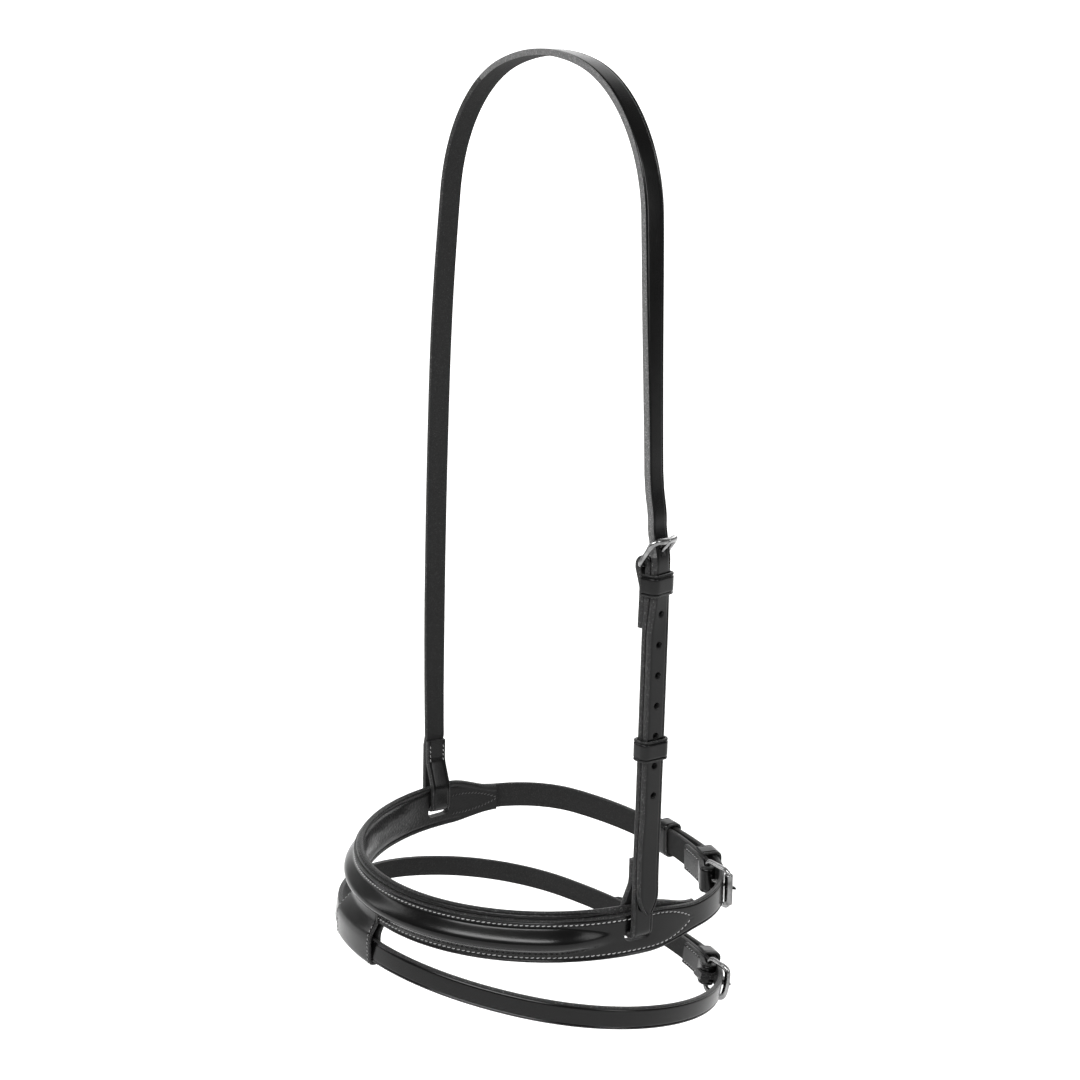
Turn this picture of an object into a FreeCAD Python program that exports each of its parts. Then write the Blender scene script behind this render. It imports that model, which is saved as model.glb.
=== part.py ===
"""Padded flash noseband with its own head strap, as a parametric document.

Frame: origin on the underside of the head strap at its highest point, +Z up,
+X towards the near (left) side of the horse, -Y towards the nose.
Sizes are millimetres and degrees.
"""
import FreeCAD, Part
import math
import os
import Sketcher

DOC = FreeCAD.newDocument("flash_noseband")
SHEET = DOC.addObject("Spreadsheet::Sheet", "sizes")
VEC = FreeCAD.Vector

SIZES = [
    # head strap, which passes over the poll
    ("strap_width", 13.0, "width of the head strap and the cheek strap"),
    ("strap_thick", 3.5, "thickness of the head strap and the cheek strap"),
    ("crown_radius", 150.0, "gentle arc over the poll"),
    ("crown_turn", 15.0, "half of the turn of that arc"),
    ("shoulder_radius", 88.0, "tighter arcs either side of the poll"),
    ("shoulder_turn", 69.0, "turn of each of them"),
    ("leg_radius", 2372.0, "very slight bow of the two legs"),
    ("drop", 466.5, "poll to the middle of the noseband"),
    ("lean", 1.6, "how far the legs lean towards the nose"),
    ("leg_twist", 17.0, "twist of the near leg towards the back"),
    ("cheek_bar_height", 208.0, "cheek buckle's hinge bar above the noseband"),
    ("arch_above_bar", 43.5, "near leg starts to twist this far above the hinge bar"),
    ("billet_above_nose", 20.0, "end of the head strap above the noseband's middle"),
    ("hole_pitch", 16.7, "spacing of the billet holes"),
    ("hole_radius", 2.0, "billet hole"),
    # loops that hold the noseband
    ("slot_height", 8.0, "slot in the noseband, up and down"),
    ("slot_length", 16.0, "slot in the noseband, along it"),
    ("slot_top", 3.0, "upper edge of the slot above the noseband's middle"),
    ("slot_y", 13.0, "slots forward of the widest point"),
    ("loop_play", 1.2, "play between the loop and the slot's upper edge"),
    ("loop_room", 8.2, "room inside the loop, across the leather"),
    ("loop_open", 18.0, "the loop's two legs stay apart up to this height"),
    ("loop_close", 31.0, "the loop's two legs meet at this height"),
    ("loop_end", 44.0, "sewn end of the loop above the noseband's middle"),
    ("twist_start", 47.0, "near cheek strap starts to twist, above the middle"),
    ("twist_end", 72.0, "near cheek strap has its full twist, above the middle"),
    # noseband
    ("nose_inset", 3.559, "middle of the nose leather inside the cheek straps' middle"),
    ("nose_depth", 80.0, "widest point to the back of the chin strap"),
    ("side_turn", 15.0, "the side arcs run this far behind the widest point"),
    ("near_turn", 66.0, "turn of the tighter arc at the near rear corner"),
    ("far_turn", 56.0, "turn of the tighter arc at the far rear corner"),
    ("lap_step", 4.3, "outer strap layer stands this far off the inner one"),
    ("nose_height", 25.0, "height of the nose leather"),
    ("nose_thick", 2.8, "thickness of the nose leather and chin straps"),
    ("chin_height", 16.0, "width of the chin straps"),
    ("roll_height", 15.0, "height of the raised padded roll"),
    ("roll_bulge", 6.0, "how far the roll stands out"),
    ("roll_span", 146.0, "angle that the roll covers"),
    ("lining_thick", 2.5, "padded lining behind the nose leather"),
    ("lining_top", 16.0, "upper edge of the lining above the middle"),
    ("taper_start", -2.0, "nose leather starts to narrow behind this line"),
    ("taper_end", 28.0, "nose leather has narrowed to the chin strap here"),
    # flash strap
    ("flash_front_radius", 137.0, "front arc of the flash strap"),
    ("flash_side_radius", 100.0, "side arcs of the flash strap"),
    ("flash_depth", 94.0, "widest point to the back of the flash strap"),
    ("flash_width", 13.0, "width of the flash strap"),
    ("flash_thick", 2.8, "thickness of the flash strap"),
    ("flash_drop", 28.4, "flash strap below the noseband at the front"),
    ("flash_lead", 4.0, "flash strap's front point ahead of the nose leather's middle"),
    ("flash_tilt", 10.8, "flash strap hangs lower at the back by this angle"),
    ("flash_yaw", 4.1, "flash strap is turned sideways by this angle"),
    ("tab_length", 26.0, "loop tab along the noseband"),
    ("tab_x", -11.0, "middle of the loop tab"),
    ("tab_play", 1.6, "room above and below the flash strap in the tab"),
    ("tab_wall", 1.6, "leather of the loop tab"),
    ("tab_gap", 8.6, "room for the flash strap inside the tab"),
    # buckles
    ("bar_radius", 1.5, "hinge bar and front bar of the buckles"),
    ("bar_play", 0.05, "running clearance on the hinge bars"),
    ("tongue_radius", 1.1, "buckle tongues"),
    ("rest_gap", 0.35, "play between a tongue and the bar it rests on"),
    ("cheek_frame_length", 17.0, "bar to bar, cheek buckle"),
    ("chin_frame_length", 20.0, "bar to bar, chin buckle"),
    ("flash_frame_length", 17.0, "bar to bar, flash buckle"),
    ("frame_room", 1.4, "strap edge to side arm, inside a buckle"),
    ("cheek_frame_tilt", 33.0, "cheek buckle's slope to its strap"),
    ("chin_frame_tilt", 19.8, "chin buckle's slope to its strap"),
    ("flash_frame_tilt", 17.8, "flash buckle's slope to its strap"),
    ("roller_wall", 0.9, "wall of the roller on the chin buckle"),
    ("chin_bar_angle", 71.0, "place of the chin buckle's hinge bar on the rear arc"),
    ("flash_bar_angle", 68.0, "place of the flash buckle's hinge bar on the rear arc"),
    ("turned_length", 34.0, "length of each turned and sewn strap end"),
    ("keeper_length", 11.8, "keepers and runners along the strap"),
    ("keeper_wall", 1.5, "leather of the keepers and runners"),
    ("layer_gap", 0.4, "play between two layers of strap"),
    ("thread", 0.45, "radius of the sewing thread"),
]

for row, (alias, size, note) in enumerate(SIZES, start=1):
    SHEET.set(f"A{row}", note)
    SHEET.set(f"B{row}", str(size))
    SHEET.setAlias(f"B{row}", alias)
DOC.recompute()

PARTS = []
VALUES = {alias: float(SHEET.get(alias)) for alias, _, _ in SIZES}


def value(expression):
    """Number that an expression in the sheet's aliases works out to."""
    return float(SHEET.evalExpression(expression))


def cells(expression):
    """The same expression, with each alias written as a cell of the sheet."""
    words = []
    word = ""
    for letter in expression + " ":
        if letter.isalnum() or letter == "_":
            word += letter
            continue
        words.append(f"sizes.{word}" if word in VALUES else word)
        words.append(letter)
        word = ""
    return "".join(words).strip()


def new_body(label, placement=None):
    """PartDesign body of one sub-part, with its own label and place."""
    body = DOC.addObject("PartDesign::Body", label)
    body.Label = label
    if placement is not None:
        body.Placement = placement
    PARTS.append(body)
    return body


def new_sketch(body, plane, offset=None):
    """Sketch on one of the body's origin planes."""
    sketch = body.newObject("Sketcher::SketchObject", f"{body.Name}_sketch")
    origin = [f for f in body.Origin.OriginFeatures if f.Role == plane][0]
    sketch.AttachmentSupport = [(origin, "")]
    sketch.MapMode = "FlatFace"
    if offset is not None:
        sketch.AttachmentOffset = offset
    return sketch


def fix_point(sketch, geometry, end, x, y):
    """Hold a point of the sketch at two expressions."""
    for kind, text in (("DistanceX", x), ("DistanceY", y)):
        index = sketch.addConstraint(
            Sketcher.Constraint(kind, -1, 1, geometry, end, value(text)))
        sketch.setExpression(f"Constraints[{index}]", cells(text))


def outline(sketch, corners):
    """Closed outline. A corner is (x, y), or (x, y, radius, side) when an arc
    leaves it: side 1 turns left, side -1 turns right."""
    count = len(corners)
    points = [VEC(value(c[0]), value(c[1]), 0) for c in corners]
    edges = []
    for i, corner in enumerate(corners):
        start, end = points[i], points[(i + 1) % count]
        if len(corner) == 2:
            edges.append((sketch.addGeometry(Part.LineSegment(start, end), False), 1, 2))
            continue
        radius, side = value(corner[2]), corner[3]
        chord = end - start
        half = chord.Length / 2
        reach = math.sqrt(max(radius * radius - half * half, 0.0))
        normal = VEC(-chord.y, chord.x, 0) * (side / chord.Length)
        centre = (start + end) * 0.5 + normal * reach
        first = math.atan2(start.y - centre.y, start.x - centre.x)
        last = math.atan2(end.y - centre.y, end.x - centre.x)
        if side < 0:
            first, last = last, first
        circle = Part.Circle(centre, VEC(0, 0, 1), radius)
        index = sketch.addGeometry(Part.ArcOfCircle(circle, first, last), False)
        edges.append((index, 1, 2) if side > 0 else (index, 2, 1))
    for i, (index, start, end) in enumerate(edges):
        following = edges[(i + 1) % count]
        sketch.addConstraint(
            Sketcher.Constraint("Coincident", index, end, following[0], following[1]))
        fix_point(sketch, index, start, corners[i][0], corners[i][1])
        if len(corners[i]) > 2:
            number = sketch.addConstraint(
                Sketcher.Constraint("Radius", index, value(corners[i][2])))
            sketch.setExpression(f"Constraints[{number}]", cells(corners[i][2]))


def circle(sketch, x, y, radius):
    """Circle at two expressions."""
    index = sketch.addGeometry(
        Part.Circle(VEC(value(x), value(y), 0), VEC(0, 0, 1), value(radius)), False)
    fix_point(sketch, index, 3, x, y)
    number = sketch.addConstraint(Sketcher.Constraint("Radius", index, value(radius)))
    sketch.setExpression(f"Constraints[{number}]", cells(radius))


def rectangle(sketch, x1, y1, x2, y2):
    outline(sketch, [(x1, y1), (x2, y1), (x2, y2), (x1, y2)])


def pad(body, sketch, length, reverse=False, symmetric=True):
    """Pad whose length is an expression."""
    feature = body.newObject("PartDesign::Pad", f"{body.Name}_pad")
    feature.Profile = sketch
    feature.SideType = "Symmetric" if symmetric else "One side"
    feature.Reversed = reverse
    feature.setExpression("Length", cells(length))
    DOC.recompute()
    return feature


def pocket(body, sketch, length):
    """Symmetric pocket, checked to take something away."""
    before = body.Shape.Volume
    feature = body.newObject("PartDesign::Pocket", f"{body.Name}_pocket")
    feature.Profile = sketch
    feature.SideType = "Symmetric"
    feature.setExpression("Length", cells(length))
    DOC.recompute()
    if not body.Shape.Volume < before - 0.01:
        raise RuntimeError(f"a pocket in {body.Label} cuts nothing")
    return feature


def place(x=0.0, y=0.0, z=0.0, axis="Z", angle=0.0):
    """Placement at a point, turned about one axis."""
    axes = {"X": VEC(1, 0, 0), "Y": VEC(0, 1, 0), "Z": VEC(0, 0, 1)}
    return FreeCAD.Placement(VEC(x, y, z), FreeCAD.Rotation(axes[axis], angle))


def polar(cx, cy, radius, angle):
    """Expressions of a point on a circle."""
    return (f"{cx} + ({radius}) * cos({angle})", f"{cy} + ({radius}) * sin({angle})")


# ---------------------------------------------------------------- head strap
HALF = "strap_thick / 2"
FOLD = "(bar_radius + bar_play)"
ARCH_END = "(crown_turn + shoulder_turn)"
CROWN_Z = f"({HALF} - crown_radius)"
SHOULDER_X = "((crown_radius - shoulder_radius) * sin(crown_turn))"
SHOULDER_Z = f"({CROWN_Z} + (crown_radius - shoulder_radius) * cos(crown_turn))"
LEG_X = f"({SHOULDER_X} + (shoulder_radius - leg_radius) * sin({ARCH_END}))"
LEG_Z = f"({SHOULDER_Z} + (shoulder_radius - leg_radius) * cos({ARCH_END}))"
CHEEK_X = f"({LEG_X} + leg_radius)"
NEAR_ARCH_END = "(drop - cheek_bar_height - arch_above_bar)"

# the round front half of the noseband follows from where the legs hang
NOSE_CELL = f"B{len(SIZES) + 1}"
SHEET.set(f"A{len(SIZES) + 1}", "round front half of the noseband")
SHEET.set(NOSE_CELL, f"={CHEEK_X} - nose_inset")
SHEET.setAlias(NOSE_CELL, "nose_radius")
DOC.recompute()
VALUES["nose_radius"] = value("nose_radius")
BAR_U = f"(-{FOLD} - {HALF})"
BAR_Z = "(cheek_bar_height - drop)"
BILLET_U = "(strap_thick + layer_gap)"
BILLET_TOP_U = 0.6
BILLET_TOP = 22.5
BILLET_BEND = 2.0

HOLES = 8
HOLE_IN_USE = 7.5
TONGUE_ROOM = "2 * tongue_radius + 1.4"
WEDGE_INNER = 4.0
FOLD_CLOSE = 12.0
FOLD_STRAIGHT = 1.8
FOLD_SLOT = 3.4
TONGUE_TIP = 1.5
CHEEK_KEEPER = 198.0
CHEEK_RUNNER = 107.5
KEEPER_TURN = 4.4
CHIN_RUNNER = 87.6
CHIN_TIP = "93"
FLASH_TIP = "98"
ROLL_CREST = "(nose_radius + nose_thick / 2 + roll_bulge)"
DEGREES = "57.29578"
NEAR_TURN = "(side_turn + near_turn)"
FAR_TURN = "(side_turn + far_turn)"
LAP_PLAY = 0.3

LEAN = place(axis="X", angle=-value("lean"))
TWIST = value("leg_twist")
TWISTED = FreeCAD.Placement(
    VEC(value(CHEEK_X), 0, 0), FreeCAD.Rotation(VEC(0, 1, 0), TWIST))


def arch_point(cx, cz, radius, angle, side):
    """Point of an arc of the head strap, its angle measured from straight up."""
    return (f"{side} * ({cx} + ({radius}) * sin({angle}))",
            f"{cz} + ({radius}) * cos({angle})")


def leg_cut(radius):
    """Where an arc of the near leg crosses the height at which it ends."""
    rise = f"(-{NEAR_ARCH_END} - {LEG_Z})"
    return (f"{LEG_X} + sqrt(({radius}) * ({radius}) - {rise} * {rise})",
            f"-{NEAR_ARCH_END}")


def arch_side(offset, backwards):
    """Corners along one face of the arch, from the near end to the far leg."""
    shoulder = f"shoulder_radius + {offset}"
    leg = f"leg_radius + {offset}"
    crown = f"crown_radius + {offset}"
    points = [
        leg_cut(leg),
        arch_point(LEG_X, LEG_Z, leg, ARCH_END, 1),
        arch_point(SHOULDER_X, SHOULDER_Z, shoulder, "crown_turn", 1),
        arch_point(SHOULDER_X, SHOULDER_Z, shoulder, "crown_turn", -1),
        arch_point(LEG_X, LEG_Z, leg, ARCH_END, -1),
        (f"-({LEG_X} + {leg})", LEG_Z),
    ]
    radii = [leg, shoulder, crown, shoulder, leg]
    if backwards:
        points.reverse()
        return [p + (r, -1) for p, r in zip(points, radii)] + [points[-1]]
    return [p + (r, 1) for p, r in zip(points, radii)] + [points[-1]]


def loop_faces(side):
    """Faces of the loop that carries the noseband: x of each, and heights."""
    outer = f"{side} * ({CHEEK_X} + {HALF})"
    main = f"{side} * ({CHEEK_X} - {HALF})"
    sewn = f"{side} * ({CHEEK_X} - 3 * {HALF})"
    room = f"{side} * ({CHEEK_X} - {HALF} - loop_room)"
    inner = f"{side} * ({CHEEK_X} - 3 * {HALF} - loop_room)"
    return outer, main, sewn, room, inner


def loop_corners(side):
    """Corners of the loop from its outer face, round below, to the sewn end."""
    outer, main, sewn, _, inner = loop_faces(side)
    bottom = "-drop + slot_top - loop_play - strap_thick"
    bend = "strap_thick"
    turn = -side
    return [
        (outer, f"{bottom} + {bend}", bend, turn),
        (f"{outer} - {side} * {bend}", bottom),
        (f"{inner} + {side} * {bend}", bottom, bend, turn),
        (inner, f"{bottom} + {bend}"),
        (inner, "-drop + loop_open"),
        (sewn, "-drop + loop_close"),
        (sewn, "-drop + loop_end"),
        (main, "-drop + loop_end"),
    ]


def loop_window(side):
    """Opening of the loop, which the noseband passes through."""
    _, main, _, room, _ = loop_faces(side)
    floor = "-drop + slot_top - loop_play"
    return [(main, floor), (room, floor), (room, "-drop + loop_open"),
            (main, "-drop + loop_close")]


def twisted_rectangle(sketch, middle, thick):
    """Strap section turned with the near leg, on a level plane."""
    corners = []
    for du, dv in ((-1, -1), (1, -1), (1, 1), (-1, 1)):
        across = f"({middle} + {du} * {thick} / 2)"
        along = f"({dv} * strap_width / 2)"
        corners.append((
            f"{CHEEK_X} + {across} * cos(leg_twist) - {along} * sin(leg_twist)",
            f"{across} * sin(leg_twist) + {along} * cos(leg_twist)"))
    outline(sketch, corners)


def loft(body, lower, upper):
    feature = body.newObject("PartDesign::AdditiveLoft", f"{body.Name}_loft")
    feature.Profile = lower
    feature.Sections = [(upper, [""])]
    feature.Ruled = True
    DOC.recompute()
    return feature


def level_sketch(body, height):
    """Sketch on a level plane at a height in the body's own frame."""
    return new_sketch(body, "XY_Plane", place(z=value(height)))


def tongue_wedge(sketch, x, y, heading, reach, side):
    """Passage through a strap that lets the tongue lie and lift: it opens
    from the frame's own line to well past the tongue. side 1 lifts left."""
    corners = []
    low, high = -1, 26
    for turn, radius in ((low, WEDGE_INNER), (low, reach), (high, reach),
                         (high, WEDGE_INNER)):
        corners.append(polar(x, y, radius, f"{heading} + {side} * {turn}"))
    outline(sketch, corners)


def make_head_strap():
    body = new_body("head_strap", LEAN)
    shape = new_sketch(body, "XZ_Plane")
    outline(shape, arch_side(HALF, False) + loop_corners(-1)
            + arch_side(f"(-{HALF})", True))
    outline(shape, loop_window(-1))
    pad(body, shape, "strap_width")

    top = level_sketch(body, f"-{NEAR_ARCH_END}")
    rectangle(top, leg_cut(f"(leg_radius - {HALF})")[0], "-strap_width / 2",
              leg_cut(f"(leg_radius + {HALF})")[0], "strap_width / 2")
    low = level_sketch(body, f"{BAR_Z} + {BILLET_TOP}")
    twisted_rectangle(low, BILLET_TOP_U, "strap_thick")
    loft(body, top, low)

    billet = new_sketch(body, "XZ_Plane", TWISTED)
    low = "twist_end - drop"
    outline(billet, [
        (f"{BILLET_TOP_U} - {HALF}", f"{BAR_Z} + {BILLET_TOP}"),
        (f"{BILLET_U} - {HALF}", f"{BAR_Z} + {BILLET_BEND}"),
        (f"{BILLET_U} - {HALF}", low),
        (f"{BILLET_U} + {HALF}", low),
        (f"{BILLET_U} + {HALF}", f"{BAR_Z} + {BILLET_BEND}"),
        (f"{BILLET_TOP_U} + {HALF}", f"{BAR_Z} + {BILLET_TOP}"),
    ])
    pad(body, billet, "strap_width")

    inner = f"{CHEEK_X} + {BILLET_U} - {HALF}"
    outer = f"{CHEEK_X} + {BILLET_U} + {HALF}"
    upper = level_sketch(body, low)
    twisted_rectangle(upper, BILLET_U, "strap_thick")
    lower = level_sketch(body, "twist_start - drop")
    rectangle(lower, inner, "-strap_width / 2", outer, "strap_width / 2")
    loft(body, upper, lower)
    end = new_sketch(body, "XZ_Plane")
    rectangle(end, inner, "billet_above_nose - drop", outer, "twist_start - drop")
    pad(body, end, "strap_width")

    wedge = new_sketch(body, "XZ_Plane", TWISTED)
    tongue_wedge(wedge, BAR_U, BAR_Z, "90 - cheek_frame_tilt", "cheek_frame_length", -1)
    pocket(body, wedge, TONGUE_ROOM)

    holes = new_sketch(body, "YZ_Plane", place(z=value(CHEEK_X)))
    for number in range(1, HOLES + 1):
        circle(holes, f"{BILLET_U} * sin(leg_twist)",
               f"{BAR_Z} + {HOLE_IN_USE} - {number} * hole_pitch", "hole_radius")
    pocket(body, holes, "6 * strap_thick")


def chape_corners(low):
    """Section of a strap end folded round a hinge bar and sewn back inside."""
    reach = f"({FOLD} + strap_thick)"
    return [
        (HALF, low),
        (HALF, BAR_Z, reach, 1),
        (BAR_U, f"{BAR_Z} + {reach}", reach, 1),
        (f"{BAR_U} - {reach}", BAR_Z),
        (f"{BAR_U} - {reach}", f"{BAR_Z} - {FOLD_STRAIGHT}"),
        (f"-3 * {HALF}", f"{BAR_Z} - {FOLD_CLOSE}"),
        (f"-3 * {HALF}", f"{BAR_Z} - turned_length"),
        (f"-{HALF}", f"{BAR_Z} - turned_length"),
        (f"-{HALF}", low),
    ]


def make_near_cheek_strap():
    body = new_body("near_cheek_strap", LEAN)
    loop = new_sketch(body, "XZ_Plane")
    outer = loop_faces(1)[0]
    main = loop_faces(1)[1]
    top = "twist_start - drop"
    outline(loop, loop_corners(1) + [(main, top), (outer, top)])
    outline(loop, loop_window(1))
    pad(body, loop, "strap_width")

    low = level_sketch(body, top)
    rectangle(low, main, "-strap_width / 2", outer, "strap_width / 2")
    high = level_sketch(body, "twist_end - drop")
    twisted_rectangle(high, "0", "strap_thick")
    loft(body, low, high)

    chape = new_sketch(body, "XZ_Plane", TWISTED)
    outline(chape, chape_corners("twist_end - drop"))
    outline(chape, [
        (f"-{HALF}", BAR_Z, FOLD, 1),
        (BAR_U, f"{BAR_Z} + {FOLD}", FOLD, 1),
        (f"{BAR_U} - {FOLD}", BAR_Z),
        (f"{BAR_U} - {FOLD}", f"{BAR_Z} - {FOLD_STRAIGHT}"),
        (f"-{HALF}", f"{BAR_Z} - {FOLD_CLOSE}"),
    ])
    pad(body, chape, "strap_width")

    slot = new_sketch(body, "XZ_Plane", TWISTED)
    rectangle(slot, f"{BAR_U} - 3 * strap_thick", f"{BAR_Z} - {FOLD_SLOT}",
              "strap_thick", f"{BAR_Z} + 3 * strap_thick")
    pocket(body, slot, TONGUE_ROOM)
    return body


# ------------------------------------------------------- keepers and buckles
def keeper(label, placement, width, inner, outer, fixed):
    """Band of leather round the strap layers, in a frame whose X points out
    of the strap and whose Z runs along it. A fixed one is sewn in and has no
    back of its own."""
    body = new_body(label, placement)
    side = f"({width} / 2 + layer_gap)"
    wall = "keeper_wall"
    front = f"({outer} + layer_gap)"
    back = f"({inner} - layer_gap)"
    section = new_sketch(body, "XY_Plane")
    if fixed:
        outline(section, [
            (inner, f"-{side} - {wall}"),
            (front, f"-{side} - {wall}", wall, 1),
            (f"{front} + {wall}", f"-{side}"),
            (f"{front} + {wall}", side, wall, 1),
            (front, f"{side} + {wall}"),
            (inner, f"{side} + {wall}"),
            (inner, side),
            (front, side),
            (front, f"-{side}"),
            (inner, f"-{side}"),
        ])
    else:
        outline(section, [
            (back, f"-{side} - {wall}"),
            (front, f"-{side} - {wall}", wall, 1),
            (f"{front} + {wall}", f"-{side}"),
            (f"{front} + {wall}", side, wall, 1),
            (front, f"{side} + {wall}"),
            (back, f"{side} + {wall}", wall, 1),
            (f"{back} - {wall}", side),
            (f"{back} - {wall}", f"-{side}", wall, 1),
        ])
        rectangle(section, back, f"-{side}", front, side)
    pad(body, section, "keeper_length")
    return body


def make_frame(label, placement, width, length):
    """Buckle frame: two side arms, a hinge bar at the origin and a front bar
    at the end of its Z axis. Y runs along the bars."""
    body = new_body(label, placement)
    arm = "(bar_radius + 0.3)"
    room = f"{width} + 2 * frame_room"
    plate = new_sketch(body, "XZ_Plane")
    outline(plate, [
        (arm, "0"), (arm, length, arm, 1), ("0", f"{length} + {arm}", arm, 1),
        (f"-{arm}", length), (f"-{arm}", "0", arm, 1), ("0", f"-{arm}", arm, 1),
    ])
    pad(body, plate, f"{room} + 4 * bar_radius")
    window = new_sketch(body, "XZ_Plane")
    rectangle(window, "-6 * bar_radius", "-6 * bar_radius",
              "6 * bar_radius", f"{length} + 6 * bar_radius")
    circle(window, "0", "0", "bar_radius")
    circle(window, "0", length, "bar_radius")
    pocket(body, window, room)
    return body


def tongue_slope(length, front):
    """Angle between a tongue and its frame."""
    return f"asin(({front} + tongue_radius + rest_gap) / {length})"


def make_tongue(label, placement, length, front):
    """Tongue: an eye round the hinge bar and a straight pin that rests on the
    front bar, whose radius is given."""
    body = new_body(label, placement)
    eye = new_sketch(body, "XZ_Plane")
    circle(eye, "0", "0", f"{FOLD} + 1.2")
    circle(eye, "0", "0", FOLD)
    pad(body, eye, "2 * tongue_radius + 0.4")
    slope = tongue_slope(length, front)
    start = value(f"{FOLD} + 0.6")
    turn = FreeCAD.Rotation(VEC(0, 1, 0), value(slope))
    pin = new_sketch(body, "XY_Plane",
                     FreeCAD.Placement(turn.multVec(VEC(0, 0, start)), turn))
    circle(pin, "0", "0", "tongue_radius")
    pad(body, pin, f"{length} / cos({slope}) + {TONGUE_TIP}", symmetric=False)
    return body


def axes_placement(origin, out, along):
    """Placement whose X points out of a strap and whose Z runs along it."""
    out = VEC(*out)
    along = VEC(*along)
    return FreeCAD.Placement(origin, FreeCAD.Rotation(out, along.cross(out), along, "ZXY"))


def cheek_point(u, height):
    """Point of the near leg's own turned frame, before the lean."""
    angle = math.radians(TWIST)
    return VEC(value(CHEEK_X) + u * math.cos(angle), u * math.sin(angle), height)


def make_cheek_pieces():
    turned = FreeCAD.Rotation(VEC(0, 0, 1), TWIST)
    bar = FreeCAD.Placement(cheek_point(value(BAR_U), value(BAR_Z)), turned)
    tilt = place(axis="Y", angle=value("cheek_frame_tilt"))
    frame = LEAN.multiply(bar).multiply(tilt)
    make_frame("cheek_buckle_frame", frame, "strap_width", "cheek_frame_length")
    make_tongue("cheek_buckle_tongue", frame, "cheek_frame_length", "bar_radius")
    for label, height, fixed in (("cheek_fixed_keeper", CHEEK_KEEPER, True),
                                 ("cheek_runner", CHEEK_RUNNER, False)):
        spot = FreeCAD.Placement(cheek_point(0, value(f"{height} - drop")), turned)
        keeper(label, LEAN.multiply(spot), "strap_width", f"(-{HALF})",
               f"({BILLET_U} + {HALF})", fixed)


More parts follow.
